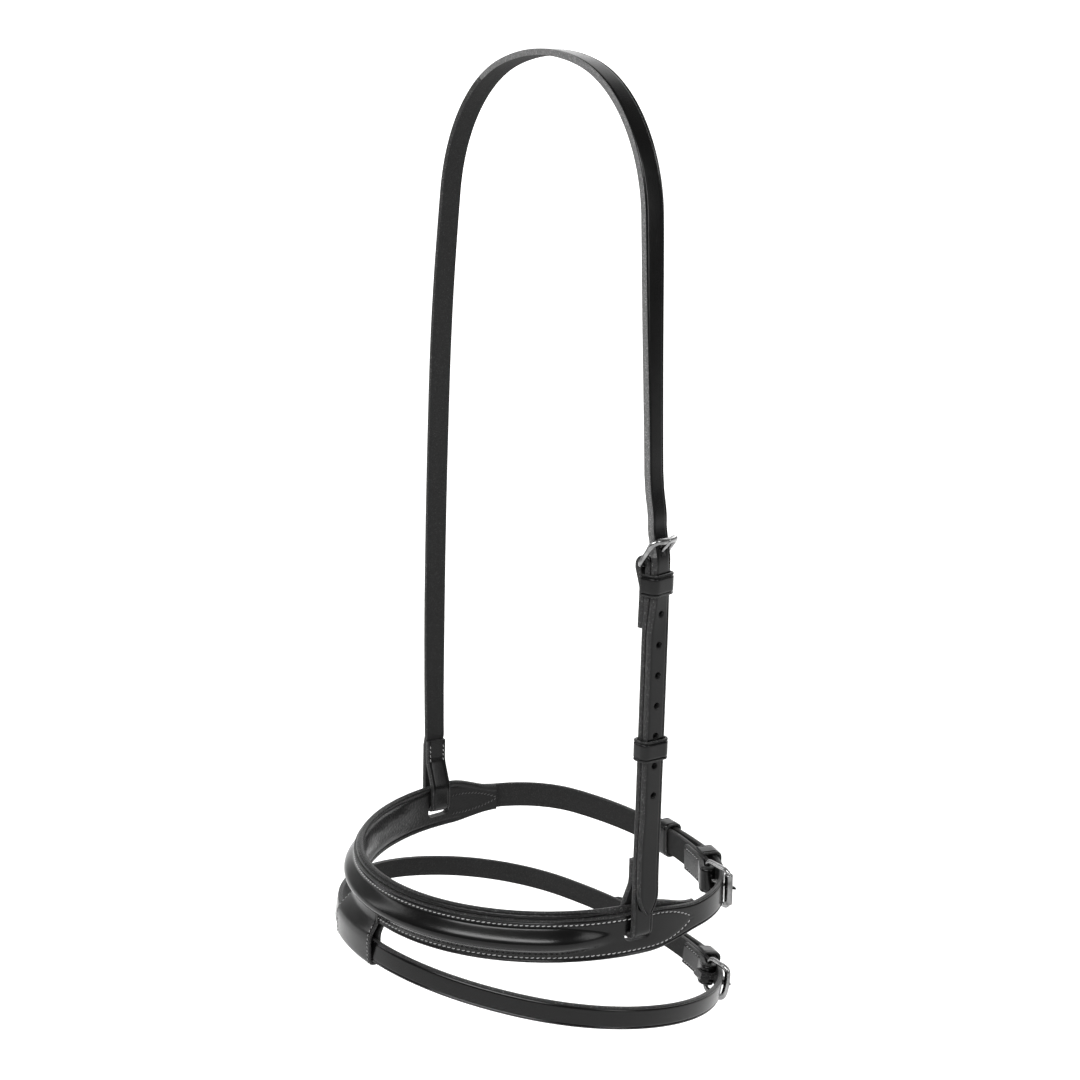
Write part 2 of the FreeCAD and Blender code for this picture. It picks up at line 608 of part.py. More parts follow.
# ------------------------------------------------- noseband and flash straps
class Ring:
    """Plan of a strap that closes round the muzzle. Its straps lap behind the
    near corner: the near end lies outside the far end."""

    def __init__(self, front, side, depth, thick, bar_angle):
        self.thick, self.bar_angle = thick, bar_angle
        self.half = f"({thick} / 2)"
        self.front, self.side = front, side
        self.width = f"({side} + ({front} - {side}) * cos(45))"
        self.front_y = f"(({front} - {side}) * cos(45))"
        self.near = self.rear(f"({depth} + lap_step)", NEAR_TURN)
        self.far = self.rear(depth, FAR_TURN)

    def rear(self, depth, turned):
        """Corner radius, rear radius and the rear arc's centre."""
        sine, cosine = f"sin({turned})", f"cos({turned})"
        rise, run = "sin(side_turn)", "cos(side_turn)"
        start = f"({self.width} - {self.side} * (1 - {run}))"
        corner = (f"(({depth} - {self.side} * {rise} - (1 - {sine}) * {start} / {cosine})"
                  f" / ({sine} - {rise} - (1 - {sine}) * ({run} - {cosine}) / {cosine}))")
        rear = f"(({start} - {corner} * ({run} - {cosine})) / {cosine})"
        return corner, rear, f"({depth} - {rear})"

    def bar(self):
        """Centre of the buckle's hinge bar."""
        _, rear, centre = self.far
        return polar("0", centre, f"{rear} - {self.half} - {FOLD}", self.bar_angle)

    def turn_point(self, offset, hand):
        """End of a side arc behind the widest point, near (1) or far (-1)."""
        x, y = polar(f"({self.width} - {self.side})", "0", f"({self.side} + {offset})",
                     "side_turn")
        return (x, y) if hand > 0 else (f"-({x})", y)

    def front_face(self, offset, side):
        """Corners along one face from the near side round the front to the
        far side, or back again. The last corner is left to the caller."""
        arm = f"{self.side} + {offset}"
        bow = f"{self.front} + {offset}"
        centre = f"({self.width} - {self.side})"
        near = polar(centre, "0", arm, "-45")
        far = polar(f"-{centre}", "0", arm, "-135")
        if side < 0:
            return [self.turn_point(offset, 1) + (arm, -1),
                    near + (bow, -1), far + (arm, -1)]
        return [self.turn_point(offset, -1) + (arm, 1),
                far + (bow, 1), near + (arm, 1)]

    def strap(self, sketch, tip):
        """Whole strap with the fold round the hinge bar and the sewn end."""
        h = self.half
        corner_n, rear_n, centre_n = self.near
        corner_f, rear_f, centre_f = self.far
        closed = f"({self.bar_angle} + {FOLD_CLOSE} / {rear_f} * {DEGREES})"
        sewn = f"({self.bar_angle} + turned_length / {rear_f} * {DEGREES})"
        bx, by = self.bar()
        fold = f"{FOLD} + {self.thick}"

        def near(offset, angle):
            return polar("0", centre_n, f"{rear_n} + {offset}", angle)

        def far(offset, angle):
            return polar("0", centre_f, f"{rear_f} + {offset}", angle)

        def inside(radius):
            """Point straight back from the bar on the inner side of the fold."""
            x, y = polar(bx, by, radius, f"{self.bar_angle} - 180")
            return polar(x, y, FOLD_STRAIGHT, f"{self.bar_angle} + 90")

        outline(sketch, [
            near(h, tip) + (f"{rear_n} + {h}", -1),
            near(h, NEAR_TURN) + (f"{corner_n} + {h}", -1),
            *self.front_face(h, -1),
            self.turn_point(h, -1) + (f"{corner_f} + {h}", -1),
            far(h, f"180 - {FAR_TURN}") + (f"{rear_f} + {h}", -1),
            far(h, self.bar_angle) + (fold, -1),
            polar(bx, by, fold, f"{self.bar_angle} - 90") + (fold, -1),
            polar(bx, by, fold, f"{self.bar_angle} - 180"),
            inside(fold),
            far(f"(-3 * {h})", closed) + (f"{rear_f} - 3 * {h}", 1),
            far(f"(-3 * {h})", sewn),
            far(f"(-{h})", sewn) + (f"{rear_f} - {h}", 1),
            far(f"(-{h})", f"180 - {FAR_TURN}") + (f"{corner_f} - {h}", 1),
            *self.front_face(f"(-{h})", 1),
            self.turn_point(f"(-{h})", 1) + (f"{corner_n} - {h}", 1),
            near(f"(-{h})", NEAR_TURN) + (f"{rear_n} - {h}", 1),
            near(f"(-{h})", tip),
        ])
        outline(sketch, [
            polar(bx, by, FOLD, self.bar_angle) + (FOLD, -1),
            polar(bx, by, FOLD, f"{self.bar_angle} - 90") + (FOLD, -1),
            polar(bx, by, FOLD, f"{self.bar_angle} - 180"),
            inside(FOLD),
            far(f"(-{h})", closed) + (f"{rear_f} - {h}", -1),
        ])

    def fold_slot(self, sketch):
        """Slot in the fold that the tongue's eye sits in."""
        bx, by = self.bar()
        depth = f"(3 * {self.thick})"
        along = f"({self.bar_angle} - 90)"
        corners = []
        for back, out in ((-1, -1), (1, -1), (1, 1), (-1, 1)):
            reach = f"({FOLD_SLOT})" if back < 0 else depth
            corners.append((
                f"{bx} + {back} * {reach} * cos({along})"
                f" + {out} * {depth} * cos({self.bar_angle})",
                f"{by} + {back} * {reach} * sin({along})"
                f" + {out} * {depth} * sin({self.bar_angle})"))
        outline(sketch, corners)

    def frame_placement(self, tilt):
        """Buckle frame in the ring's own plane."""
        bx, by = self.bar()
        heading = math.radians(value(f"{self.bar_angle} - 90 + {tilt}"))
        along = (math.cos(heading), math.sin(heading), 0)
        out = (-math.sin(heading), math.cos(heading), 0)
        return axes_placement(VEC(value(bx), value(by), 0), out, along)

    def lap(self, angle):
        """Outer face of the upper layer from the middle of the lower one,
        with a little play, at an angle on the lower one's rear arc."""
        corner_n, rear_n, centre_n = (value(size) for size in self.near)
        _, rear_f, centre_f = (value(size) for size in self.far)
        half, turn = value(self.half), math.radians(value("side_turn"))
        ray = VEC(math.cos(math.radians(angle)), math.sin(math.radians(angle)), 0)
        start = VEC(0, centre_f, 0)

        def reach(centre, radius):
            offset = start - centre
            along = offset.dot(ray)
            return -along + math.sqrt(along ** 2 - offset.dot(offset) + radius ** 2)

        rear = VEC(0, centre_n, 0)
        hit = start + ray * reach(rear, rear_n + half) - rear
        if math.degrees(math.atan2(hit.y, hit.x)) < value(NEAR_TURN):
            side = value(self.side)
            middle = VEC(value(self.width) - side + (side - corner_n) * math.cos(turn),
                         (side - corner_n) * math.sin(turn), 0)
            hit = start + ray * reach(middle, corner_n + half) - rear
        return (hit + rear - start).Length - rear_f + LAP_PLAY

    def keeper_placement(self, angle):
        """Keeper at an angle on the rear arc of the inner layer."""
        _, rear, centre = self.far
        a = math.radians(angle)
        spot = VEC(value(rear) * math.cos(a), value(centre) + value(rear) * math.sin(a), 0)
        return axes_placement(spot, (math.cos(a), math.sin(a), 0),
                              (math.sin(a), -math.cos(a), 0))


NOSE = Ring("nose_radius", "nose_radius", "nose_depth", "nose_thick", "chin_bar_angle")
FLASH = Ring("flash_front_radius", "flash_side_radius", "flash_depth", "flash_thick",
             "flash_bar_angle")
NOSE_PLACE = place(z=-value("drop"))
FLASH_PLACE = (place(y=-value("nose_radius + flash_lead"), z=-value("drop + flash_drop"))
               .multiply(place(axis="X", angle=-value("flash_tilt")))
               .multiply(place(axis="Z", angle=value("flash_yaw")))
               .multiply(place(y=value(f"{FLASH.front} - {FLASH.front_y}"))))


def make_keeper_on(ring, placement, label, width, angle, fixed):
    """Keeper round both layers of a ring, at an angle on its rear arc."""
    spot = placement.multiply(ring.keeper_placement(angle))
    keeper(label, spot, width, f"(-{ring.half})", f"({ring.lap(angle):.3f})", fixed)


def make_ring_pieces(ring, placement, name, width, length, tilt, front):
    """Buckle frame, tongue and fixed keeper of one ring."""
    frame = placement.multiply(ring.frame_placement(tilt))
    make_frame(f"{name}_buckle_frame", frame, width, length)
    make_tongue(f"{name}_buckle_tongue", frame, length, front)
    make_keeper_on(ring, placement, f"{name}_fixed_keeper", width,
                   value(ring.bar_angle) + KEEPER_TURN, True)
    return frame


def cut_tongue_passages(body, ring, tilt, length):
    """Slot in the fold and the drawn-out hole that the tongue goes through."""
    slot = new_sketch(body, "XY_Plane")
    ring.fold_slot(slot)
    pocket(body, slot, TONGUE_ROOM)
    wedge = new_sketch(body, "XY_Plane")
    bx, by = ring.bar()
    tongue_wedge(wedge, bx, by, f"{ring.bar_angle} - 90 + {tilt}", length, 1)
    pocket(body, wedge, TONGUE_ROOM)


def taper(body, top, end_top):
    """Narrow a band behind the slots, above and below, to the chin strap."""
    cut = new_sketch(body, "YZ_Plane")
    far_back = "2 * nose_radius"
    spare = "nose_height"
    outline(cut, [("taper_start", top), ("taper_end", end_top), (far_back, end_top),
                  (far_back, spare), ("taper_start", spare)])
    low = "-nose_height / 2"
    outline(cut, [("taper_start", low), ("taper_start", f"-{spare}"),
                  (far_back, f"-{spare}"), (far_back, "-chin_height / 2"),
                  ("taper_end", "-chin_height / 2")])
    pocket(body, cut, "4 * nose_radius")


def cut_slots(body):
    """Slots either side for the loops of the head strap."""
    cut = new_sketch(body, "YZ_Plane")
    rectangle(cut, "-slot_y - slot_length / 2", "slot_top - slot_height",
              "-slot_y + slot_length / 2", "slot_top")
    pocket(body, cut, "4 * nose_radius")


def revolve(body, sketch, angle, kind):
    """Turn a section symmetrically about the upright axis."""
    feature = body.newObject(f"PartDesign::{kind}", f"{body.Name}_turned")
    feature.Profile = sketch
    upright = [f for f in body.Origin.OriginFeatures if f.Role == "Z_Axis"][0]
    feature.ReferenceAxis = (upright, [""])
    feature.Midplane = True
    feature.setExpression("Angle", cells(angle))
    DOC.recompute()
    return feature


def roll_section(sketch, chord, height, crest):
    """Section of the raised roll: a chord and an arc that bulges forward."""
    bulge = f"({crest} - {chord})"
    radius = f"(({height}) * ({height}) / 4 + {bulge} * {bulge}) / (2 * {bulge})"
    outline(sketch, [(f"-{chord}", f"({height}) / 2", radius, 1),
                     (f"-{chord}", f"-({height}) / 2")])


def make_noseband_strap():
    body = new_body("noseband_strap", NOSE_PLACE)
    plan = new_sketch(body, "XY_Plane")
    NOSE.strap(plan, CHIN_TIP)
    pad(body, plan, "nose_height")
    taper(body, "nose_height / 2", "chin_height / 2")
    cut_slots(body)
    cut_tongue_passages(body, NOSE, "chin_frame_tilt", "chin_frame_length")

    roll = new_sketch(body, "YZ_Plane")
    roll_section(roll, f"(nose_radius + {NOSE.half} - 0.4)", "roll_height", ROLL_CREST)
    revolve(body, roll, "roll_span", "Revolution")
    hollow = new_sketch(body, "YZ_Plane")
    roll_section(hollow, "nose_radius", "roll_height - 3", f"({ROLL_CREST} - 1.8)")
    before = body.Shape.Volume
    revolve(body, hollow, "roll_span - 8", "Groove")
    if not body.Shape.Volume < before - 1:
        raise RuntimeError("the hollow for the roll's core cuts nothing")
    return body


def make_nose_parts():
    core = new_body("nose_roll_core", NOSE_PLACE)
    section = new_sketch(core, "YZ_Plane")
    roll_section(section, "(nose_radius + 0.02)", "roll_height - 3.1",
                 f"({ROLL_CREST} - 1.85)")
    revolve(core, section, "roll_span - 9", "Revolution")

    lining = new_body("nose_lining", NOSE_PLACE)
    middle = value("(lining_top - nose_height / 2) / 2")
    plan = new_sketch(lining, "XY_Plane", place(z=middle))
    out = f"(-{NOSE.half} - 0.02)"
    back = f"(-{NOSE.half} - lining_thick)"
    outline(plan, [
        *NOSE.front_face(out, -1),
        NOSE.turn_point(out, -1),
        *NOSE.front_face(back, 1),
        NOSE.turn_point(back, 1),
    ])
    pad(lining, plan, "nose_height / 2 + lining_top")
    taper(lining, "lining_top", "chin_height / 2")
    cut_slots(lining)

    for label, height in (("nose_thread_upper", "roll_height / 2 + 1.9"),
                          ("nose_thread_lower", "-roll_height / 2 - 1.9")):
        row = DOC.addObject("Part::Torus", label)
        row.Label = label
        row.setExpression("Radius1", cells(f"nose_radius + {NOSE.half} + thread + 0.02"))
        row.setExpression("Radius2", cells("thread"))
        row.setExpression("Angle3", cells("roll_span"))
        start = -90 - value("roll_span") / 2
        row.Placement = place(z=value(f"{height} - drop"), angle=start)
        PARTS.append(row)


def make_flash_tab():
    """Sleeve sewn under the front of the noseband for the flash strap. It is
    in line with the strap where the strap passes through it."""
    turn = math.asin(value(f"tab_x / {FLASH.front}"))
    on_strap = VEC(value("tab_x"), value(f"{FLASH.front_y}")
                   - value(FLASH.front) * math.cos(turn), 0)
    level = (place(y=-value("nose_radius + flash_lead"))
             .multiply(place(axis="Z", angle=value("flash_yaw")))
             .multiply(place(y=value(f"{FLASH.front} - {FLASH.front_y}"))))
    spot = level.multVec(on_strap)
    heading = value("flash_yaw") + math.degrees(turn)
    body = new_body("flash_loop_tab", place(spot.x, spot.y, -value("drop"), "Z", heading))
    section = new_sketch(body, "YZ_Plane")
    leather = f"(sqrt(nose_radius * nose_radius - tab_x * tab_x) * -1 + {-spot.y})"
    inner, outer = "(tab_gap / 2)", "(tab_gap / 2 + tab_wall)"
    floor = "(-flash_drop - flash_width / 2 - tab_play)"
    roof = "(-flash_drop + flash_width / 2 + tab_play)"
    edge = "-nose_height / 2"
    outline(section, [
        (f"-{outer}", f"{floor} - tab_wall"),
        (outer, f"{floor} - tab_wall"),
        (outer, roof),
        (f"{leather} + {NOSE.half}", f"{roof} + tab_wall"),
        (f"{leather} + {NOSE.half}", edge),
        (f"{leather} - {NOSE.half}", edge),
        (f"{leather} - {NOSE.half}", f"{roof} + tab_wall"),
        (f"-{outer}", f"{roof} + tab_wall"),
    ])
    rectangle(section, f"-{inner}", floor, inner, roof)
    pad(body, section, "tab_length")


def make_flash_strap():
    body = new_body("flash_strap", FLASH_PLACE)
    plan = new_sketch(body, "XY_Plane")
    FLASH.strap(plan, FLASH_TIP)
    pad(body, plan, "flash_width")
    cut_tongue_passages(body, FLASH, "flash_frame_tilt", "flash_frame_length")


def make_chin_and_flash_pieces():
    roller = "(bar_radius + bar_play + roller_wall)"
    chin = make_ring_pieces(NOSE, NOSE_PLACE, "chin", "chin_height", "chin_frame_length",
                            "chin_frame_tilt", roller)
    make_ring_pieces(FLASH, FLASH_PLACE, "flash", "flash_width", "flash_frame_length",
                     "flash_frame_tilt", "bar_radius")

    body = new_body("chin_roller", chin.multiply(place(z=value("chin_frame_length"))))
    tube = new_sketch(body, "XZ_Plane")
    circle(tube, "0", "0", roller)
    circle(tube, "0", "0", FOLD)
    pad(body, tube, "chin_height + 2 * frame_room - 0.6")

    make_keeper_on(NOSE, NOSE_PLACE, "chin_runner", "chin_height", CHIN_RUNNER, False)


def write_parts():
    """Check every object, then write each sub-part's solid."""
    DOC.recompute()
    for item in DOC.Objects:
        if "Invalid" in item.State or "Error" in item.State:
            raise RuntimeError(f"{item.Name} failed to compute")
    os.makedirs("parts", exist_ok=True)
    for part in PARTS:
        shape = part.Shape
        if shape.isNull() or not shape.isValid() or len(shape.Solids) != 1:
            raise RuntimeError(f"{part.Label} is not one valid solid")
        shape.exportStep(f"parts/{part.Label}.step")
        box = shape.BoundBox
        print(f"{part.Label:22s} {shape.Volume:9.0f} mm3  {box.XLength:6.1f}"
              f" {box.YLength:6.1f} {box.ZLength:6.1f}")


make_head_strap()
make_near_cheek_strap()
make_cheek_pieces()
make_noseband_strap()
make_nose_parts()
make_flash_tab()
make_flash_strap()
make_chin_and_flash_pieces()
write_parts()
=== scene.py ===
"""Looks of the padded flash noseband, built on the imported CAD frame. Shapes are
drawn in millimetres in the frame's own axes and scaled to metres when they are made."""

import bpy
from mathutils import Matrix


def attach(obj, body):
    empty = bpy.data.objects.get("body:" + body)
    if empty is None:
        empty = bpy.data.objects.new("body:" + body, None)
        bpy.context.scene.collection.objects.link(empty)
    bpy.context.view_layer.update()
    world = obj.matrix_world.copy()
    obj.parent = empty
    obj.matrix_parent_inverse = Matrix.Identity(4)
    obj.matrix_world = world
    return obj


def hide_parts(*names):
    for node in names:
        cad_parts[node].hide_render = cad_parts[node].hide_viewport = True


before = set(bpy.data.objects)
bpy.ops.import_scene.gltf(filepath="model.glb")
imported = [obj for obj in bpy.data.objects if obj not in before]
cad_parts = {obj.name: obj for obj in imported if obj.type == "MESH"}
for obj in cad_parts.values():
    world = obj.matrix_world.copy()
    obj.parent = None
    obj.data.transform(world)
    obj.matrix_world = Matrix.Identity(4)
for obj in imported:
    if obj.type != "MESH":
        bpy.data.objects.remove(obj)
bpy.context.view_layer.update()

import math
import random

import bmesh
import bpy
from mathutils import Matrix, Vector

MM = 0.001
RNG = random.Random(7)
VIEW_AZIMUTH = 57.8


def rad(angle):
    return math.radians(angle)


def smooth(x, a, b):
    """0 before a, 1 after b, and a soft step between them."""
    t = min(1.0, max(0.0, (x - a) / (b - a)))
    return t * t * (3 - 2 * t)


# ------------------------------------------------------------------ materials
def material(name, base, rough, metallic=0.0, specular=0.5):
    mat = bpy.data.materials.new(name)
    mat.use_nodes = True
    tree = mat.node_tree
    shader = tree.nodes["Principled BSDF"]
    shader.inputs["Base Color"].default_value = (*base, 1)
    shader.inputs["Roughness"].default_value = rough
    shader.inputs["Metallic"].default_value = metallic
    shader.inputs["Specular IOR Level"].default_value = specular
    coords = tree.nodes.new("ShaderNodeTexCoord")
    return mat, tree, shader, coords


def noise(tree, coords, scale, detail=4.0, rough=0.55):
    node = tree.nodes.new("ShaderNodeTexNoise")
    node.inputs["Scale"].default_value = scale
    node.inputs["Detail"].default_value = detail
    node.inputs["Roughness"].default_value = rough
    tree.links.new(coords.outputs["Object"], node.inputs["Vector"])
    return node.outputs["Fac"]


def cells(tree, coords, scale):
    node = tree.nodes.new("ShaderNodeTexVoronoi")
    node.inputs["Scale"].default_value = scale
    tree.links.new(coords.outputs["Object"], node.inputs["Vector"])
    return node.outputs["Distance"]


def ramp(tree, value, stops):
    node = tree.nodes.new("ShaderNodeValToRGB")
    while len(node.color_ramp.elements) < len(stops):
        node.color_ramp.elements.new(0.5)
    for element, (place, colour) in zip(node.color_ramp.elements, stops):
        element.position = place
        if isinstance(colour, (int, float)):
            colour = (colour,) * 3
        element.color = (*colour, 1)
    tree.links.new(value, node.inputs["Fac"])
    return node.outputs["Color"]


def span(tree, value, low, high):
    node = tree.nodes.new("ShaderNodeMapRange")
    node.inputs["To Min"].default_value = low
    node.inputs["To Max"].default_value = high
    tree.links.new(value, node.inputs["Value"])
    return node.outputs["Result"]


def bumps(tree, shader, layers):
    """Chain of bumps: (height output, distance in metres, strength)."""
    before = None
    for height, distance, strength in layers:
        node = tree.nodes.new("ShaderNodeBump")
        node.inputs["Distance"].default_value = distance
        node.inputs["Strength"].default_value = strength
        tree.links.new(height, node.inputs["Height"])
        if before is not None:
            tree.links.new(before, node.inputs["Normal"])
        before = node.outputs["Normal"]
    tree.links.new(before, shader.inputs["Normal"])


def grain_leather(name, base, low, high, pebble, size=1500, depth=0.00012):
    mat, tree, shader, coords = material(name, (base,) * 3, low, specular=0.2)
    broad = noise(tree, coords, 28, 3)
    fine = noise(tree, coords, 900, 3)
    tree.links.new(ramp(tree, broad, [(0.3, base * 0.75), (0.7, base * 1.35)]),
                   shader.inputs["Base Color"])
    tree.links.new(span(tree, noise(tree, coords, 160, 5), low, high),
                   shader.inputs["Roughness"])
    bumps(tree, shader, [(noise(tree, coords, 55, 3), 0.0006, 0.12),
                         (cells(tree, coords, size), depth, pebble),
                         (fine, 0.00008, 0.14)])
    return mat


GRAIN = grain_leather("black_leather", 0.0022, 0.17, 0.27, 0.09)
SOFT = grain_leather("soft_lining_leather", 0.003, 0.27, 0.42, 0.6,
                     620, 0.0003)


def rough_leather(name, base, light, rough, scale, depth):
    mat, tree, shader, coords = material(name, (base,) * 3, rough, specular=0.12)
    speck = noise(tree, coords, scale, 8, 0.75)
    tree.links.new(ramp(tree, speck, [(0.38, base * 0.6), (0.55, base), (0.72, light)]),
                   shader.inputs["Base Color"])
    tree.links.new(span(tree, speck, rough - 0.1, min(1, rough + 0.15)),
                   shader.inputs["Roughness"])
    bumps(tree, shader, [(speck, depth, 0.8),
                         (noise(tree, coords, scale * 3, 4), depth * 0.4, 0.6)])
    return mat


FLESH = rough_leather("leather_flesh_side", 0.013, 0.045, 0.72, 1400, 0.0002)
EDGE = rough_leather("leather_cut_edge", 0.02, 0.16, 0.4, 1100, 0.0002)
# Lighter copy of the cut-edge material: a painted highlight for the edges on the near side and over
# the crown, above the buckle, where the light falls on them.
PAINTED_LIT_EDGE = rough_leather("leather_edge_painted_highlight", 0.10, 0.34, 0.5, 1300, 0.00025)


def thread_material(name, light):
    mat, tree, shader, coords = material(name, (light * 0.6,) * 3, 0.55, specular=0.2)
    wave = noise(tree, coords, 2600, 3)
    tree.links.new(ramp(tree, wave, [(0.3, light * 0.3), (0.6, light * 0.7), (0.75, light)]),
                   shader.inputs["Base Color"])
    bumps(tree, shader, [(wave, 0.0001, 0.6)])
    return mat


def metal_material(name, dark, light):
    mat, tree, shader, coords = material(name, (light,) * 3, 0.2, 1.0)
    wear = noise(tree, coords, 350, 5)
    tree.links.new(ramp(tree, noise(tree, coords, 120, 3),
                        [(0.3, dark), (0.7, light)]),
                   shader.inputs["Base Color"])
    tree.links.new(span(tree, wear, 0.13, 0.36), shader.inputs["Roughness"])
    bumps(tree, shader, [(noise(tree, coords, 260, 3), 0.00035, 0.25),
                         (wear, 0.00006, 0.4)])
    return mat


THREAD = thread_material("grey_thread", 0.50)
DARK_THREAD = thread_material("dark_thread", 0.10)
METAL = metal_material("polished_steel", 0.12, 0.36)
WORN = metal_material("worn_steel", 0.03, 0.24)
STRAP_MATERIALS = [GRAIN, EDGE, FLESH]
HEAD_MATERIALS = [GRAIN, EDGE, FLESH, PAINTED_LIT_EDGE]


# ---------------------------------------------------------------------- meshes
def finish_mesh(name, bm, mats, body, nodes=(), sharp=40):
    mesh = bpy.data.meshes.new(name)
    bm.normal_update()
    bm.to_mesh(mesh)
    bm.free()
    for mat in mats:
        mesh.materials.append(mat)
    mesh.polygons.foreach_set("use_smooth", [True] * len(mesh.polygons))
    mesh.set_sharp_from_angle(angle=rad(sharp))
    obj = bpy.data.objects.new(name, mesh)
    bpy.context.collection.objects.link(obj)
    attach(obj, body)
    if nodes:
        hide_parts(*nodes)
    return obj


def frames(points, normals, closed=False):
    """Tangent, outward normal and width direction at each station."""
    out = []
    n = len(points)
    for i in range(n):
        a = points[(i - 1) % n] if closed or i else points[0]
        b = points[(i + 1) % n] if closed or i < n - 1 else points[-1]
        tangent = (b - a).normalized()
        across = tangent.cross(normals[i]).normalized()
        out.append((points[i], tangent, across.cross(tangent), across))
    return out


def lengths(points):
    total = [0.0]
    for a, b in zip(points, points[1:]):
        total.append(total[-1] + (b - a).length)
    return total


def section(a, b, crease, inner, crown):
    """(w, t, material of the face that follows) round a strap's section."""
    edge = min(0.75 * b, 0.9, 0.7 * a)
    scale = min(1.0, a / 3.2)
    left = [(-a, -b + edge, 1), (-a - 0.04, 0.0, 1), (-a, b - edge, 1),
            (-a + 0.3 * edge, b - 0.3 * edge, 1), (-a + edge, b, 0)]
    for d, depth in ((1.15, 0), (1.35, 0.45), (1.6, 1), (1.85, 0.45), (2.1, 0), (2.9, 0)):
        left.append((-a + d * scale, b - depth * crease, 0))
    reach = a - 2.9 * scale
    middle = [(-reach + 2 * reach * k / (inner + 1), b, 0) for k in range(1, inner + 1)]
    right = [(-w, t, 0) for w, t, _ in reversed(left)]
    count = len(right)
    right = [(w, t, 1 if k >= count - 5 else 0) for k, (w, t, _) in enumerate(right)]
    flesh = [(a - edge * 0.6, -b, 2), (0.35 * a, -b, 2), (-0.35 * a, -b, 2),
             (-a + edge * 0.6, -b, 1)]
    points = left + middle + right + flesh
    return [(w, t + (crown * (1 - (w / a) ** 2) if t > 0.2 * b else 0), m)
            for w, t, m in points]


def strap(name, points, normals, width, thick, body, nodes=(), crease=0.3, closed=False,
          relief=None, shift=None, inner=5, crown=0.12, mats=None):
    """Leather strap along a path, in millimetres. width is a number or a
    function of the station's length and number; relief adds height."""
    bm = bmesh.new()
    stations = frames(points, normals, closed)
    run = lengths(points)
    rings = []
    for i, (place, _, out, across) in enumerate(stations):
        full = width(run[i], i) if callable(width) else width
        middle = shift(run[i], i) if shift else 0.0
        ring = []
        for w, t, kind in section(full / 2, thick / 2, crease, inner, crown):
            if relief and t > 0.3 * thick / 2:
                t += relief(i, w, full / 2)
            ring.append((bm.verts.new((place + across * (w + middle) + out * t) * MM), kind))
        rings.append(ring)
    count = len(rings[0])
    pairs = list(zip(rings, rings[1:]))
    if closed:
        pairs.append((rings[-1], rings[0]))
    for one, two in pairs:
        for k in range(count):
            nxt = (k + 1) % count
            face = bm.faces.new((one[k][0], one[nxt][0], two[nxt][0], two[k][0]))
            face.material_index = one[k][1]
    if not closed:
        for ring, flip in ((rings[0], False), (rings[-1], True)):
            verts = [v for v, _ in ring]
            face = bm.faces.new(verts if flip else verts[::-1])
            face.material_index = 1
    bmesh.ops.recalc_face_normals(bm, faces=bm.faces)
    return finish_mesh(name, bm, mats or STRAP_MATERIALS, body, nodes)


def tube(name, points, radius, body, nodes=(), mats=(METAL,), closed=False,
         normals=None, squash=1.0, sides=14):
    """Round bar along a path; radius is a number or a function of station."""
    bm = bmesh.new()
    if normals is None:
        normals = [Vector((0, 0, 1))] * len(points)
    rings = []
    for i, (place, _, out, across) in enumerate(frames(points, normals, closed)):
        r = radius(i) if callable(radius) else radius
        rings.append([bm.verts.new((place + across * (r * math.cos(a))
                                    + out * (r * squash * math.sin(a))) * MM)
                      for a in (2 * math.pi * k / sides for k in range(sides))])
    pairs = list(zip(rings, rings[1:])) + ([(rings[-1], rings[0])] if closed else [])
    for one, two in pairs:
        for k in range(sides):
            bm.faces.new((one[k], one[(k + 1) % sides], two[(k + 1) % sides], two[k]))
    if not closed:
        bm.faces.new(rings[0][::-1])
        bm.faces.new(rings[-1])
    bmesh.ops.recalc_face_normals(bm, faces=bm.faces)
    return finish_mesh(name, bm, list(mats), body, nodes, 60)


def stitches(name, rows, body, nodes=(), pitch=3.0, long=2.2, wide=0.62, slant=10,
             mat=None):
    """Sewing thread: rows of (point, surface normal) along which each stitch
    is a small rounded pill that dips into the leather at its ends."""
    bm = bmesh.new()
    for row in rows:
        points = [p for p, _ in row]
        run = lengths(points)
        count = int(run[-1] / pitch)
        if count < 1:
            continue
        step = run[-1] / count
        at = 0
        for k in range(count):
            s = (k + 0.5) * step
            while at < len(run) - 2 and run[at + 1] < s:
                at += 1
            f = (s - run[at]) / max(1e-6, run[at + 1] - run[at])
            place = points[at].lerp(points[at + 1], f)
            out = row[at][1].lerp(row[at + 1][1], f).normalized()
            along = (points[at + 1] - points[at]).normalized()
            turn = Matrix.Rotation(rad(slant + RNG.uniform(-3, 3)), 3, out)
            along = turn @ along
            side = out.cross(along)
            size = long * RNG.uniform(0.93, 1.05)
            rings = []
            for j in range(7):
                u = -1 + j / 3
                r = wide / 2 * math.sqrt(max(0.12, 1 - abs(u) ** 3))
                lift = 0.16 - 0.34 * abs(u) ** 2.5
                rings.append([bm.verts.new((place + along * (u * size / 2)
                                            + side * (r * math.cos(a))
                                            + out * (lift + 0.8 * r * math.sin(a))) * MM)
                              for a in (math.pi * 2 * q / 6 for q in range(6))])
            for one, two in zip(rings, rings[1:]):
                for q in range(6):
                    bm.faces.new((one[q], one[(q + 1) % 6], two[(q + 1) % 6], two[q]))
            bm.faces.new(rings[0][::-1])
            bm.faces.new(rings[-1])
    bmesh.ops.recalc_face_normals(bm, faces=bm.faces)
    return finish_mesh(name, bm, [mat or THREAD], body, nodes, 80)


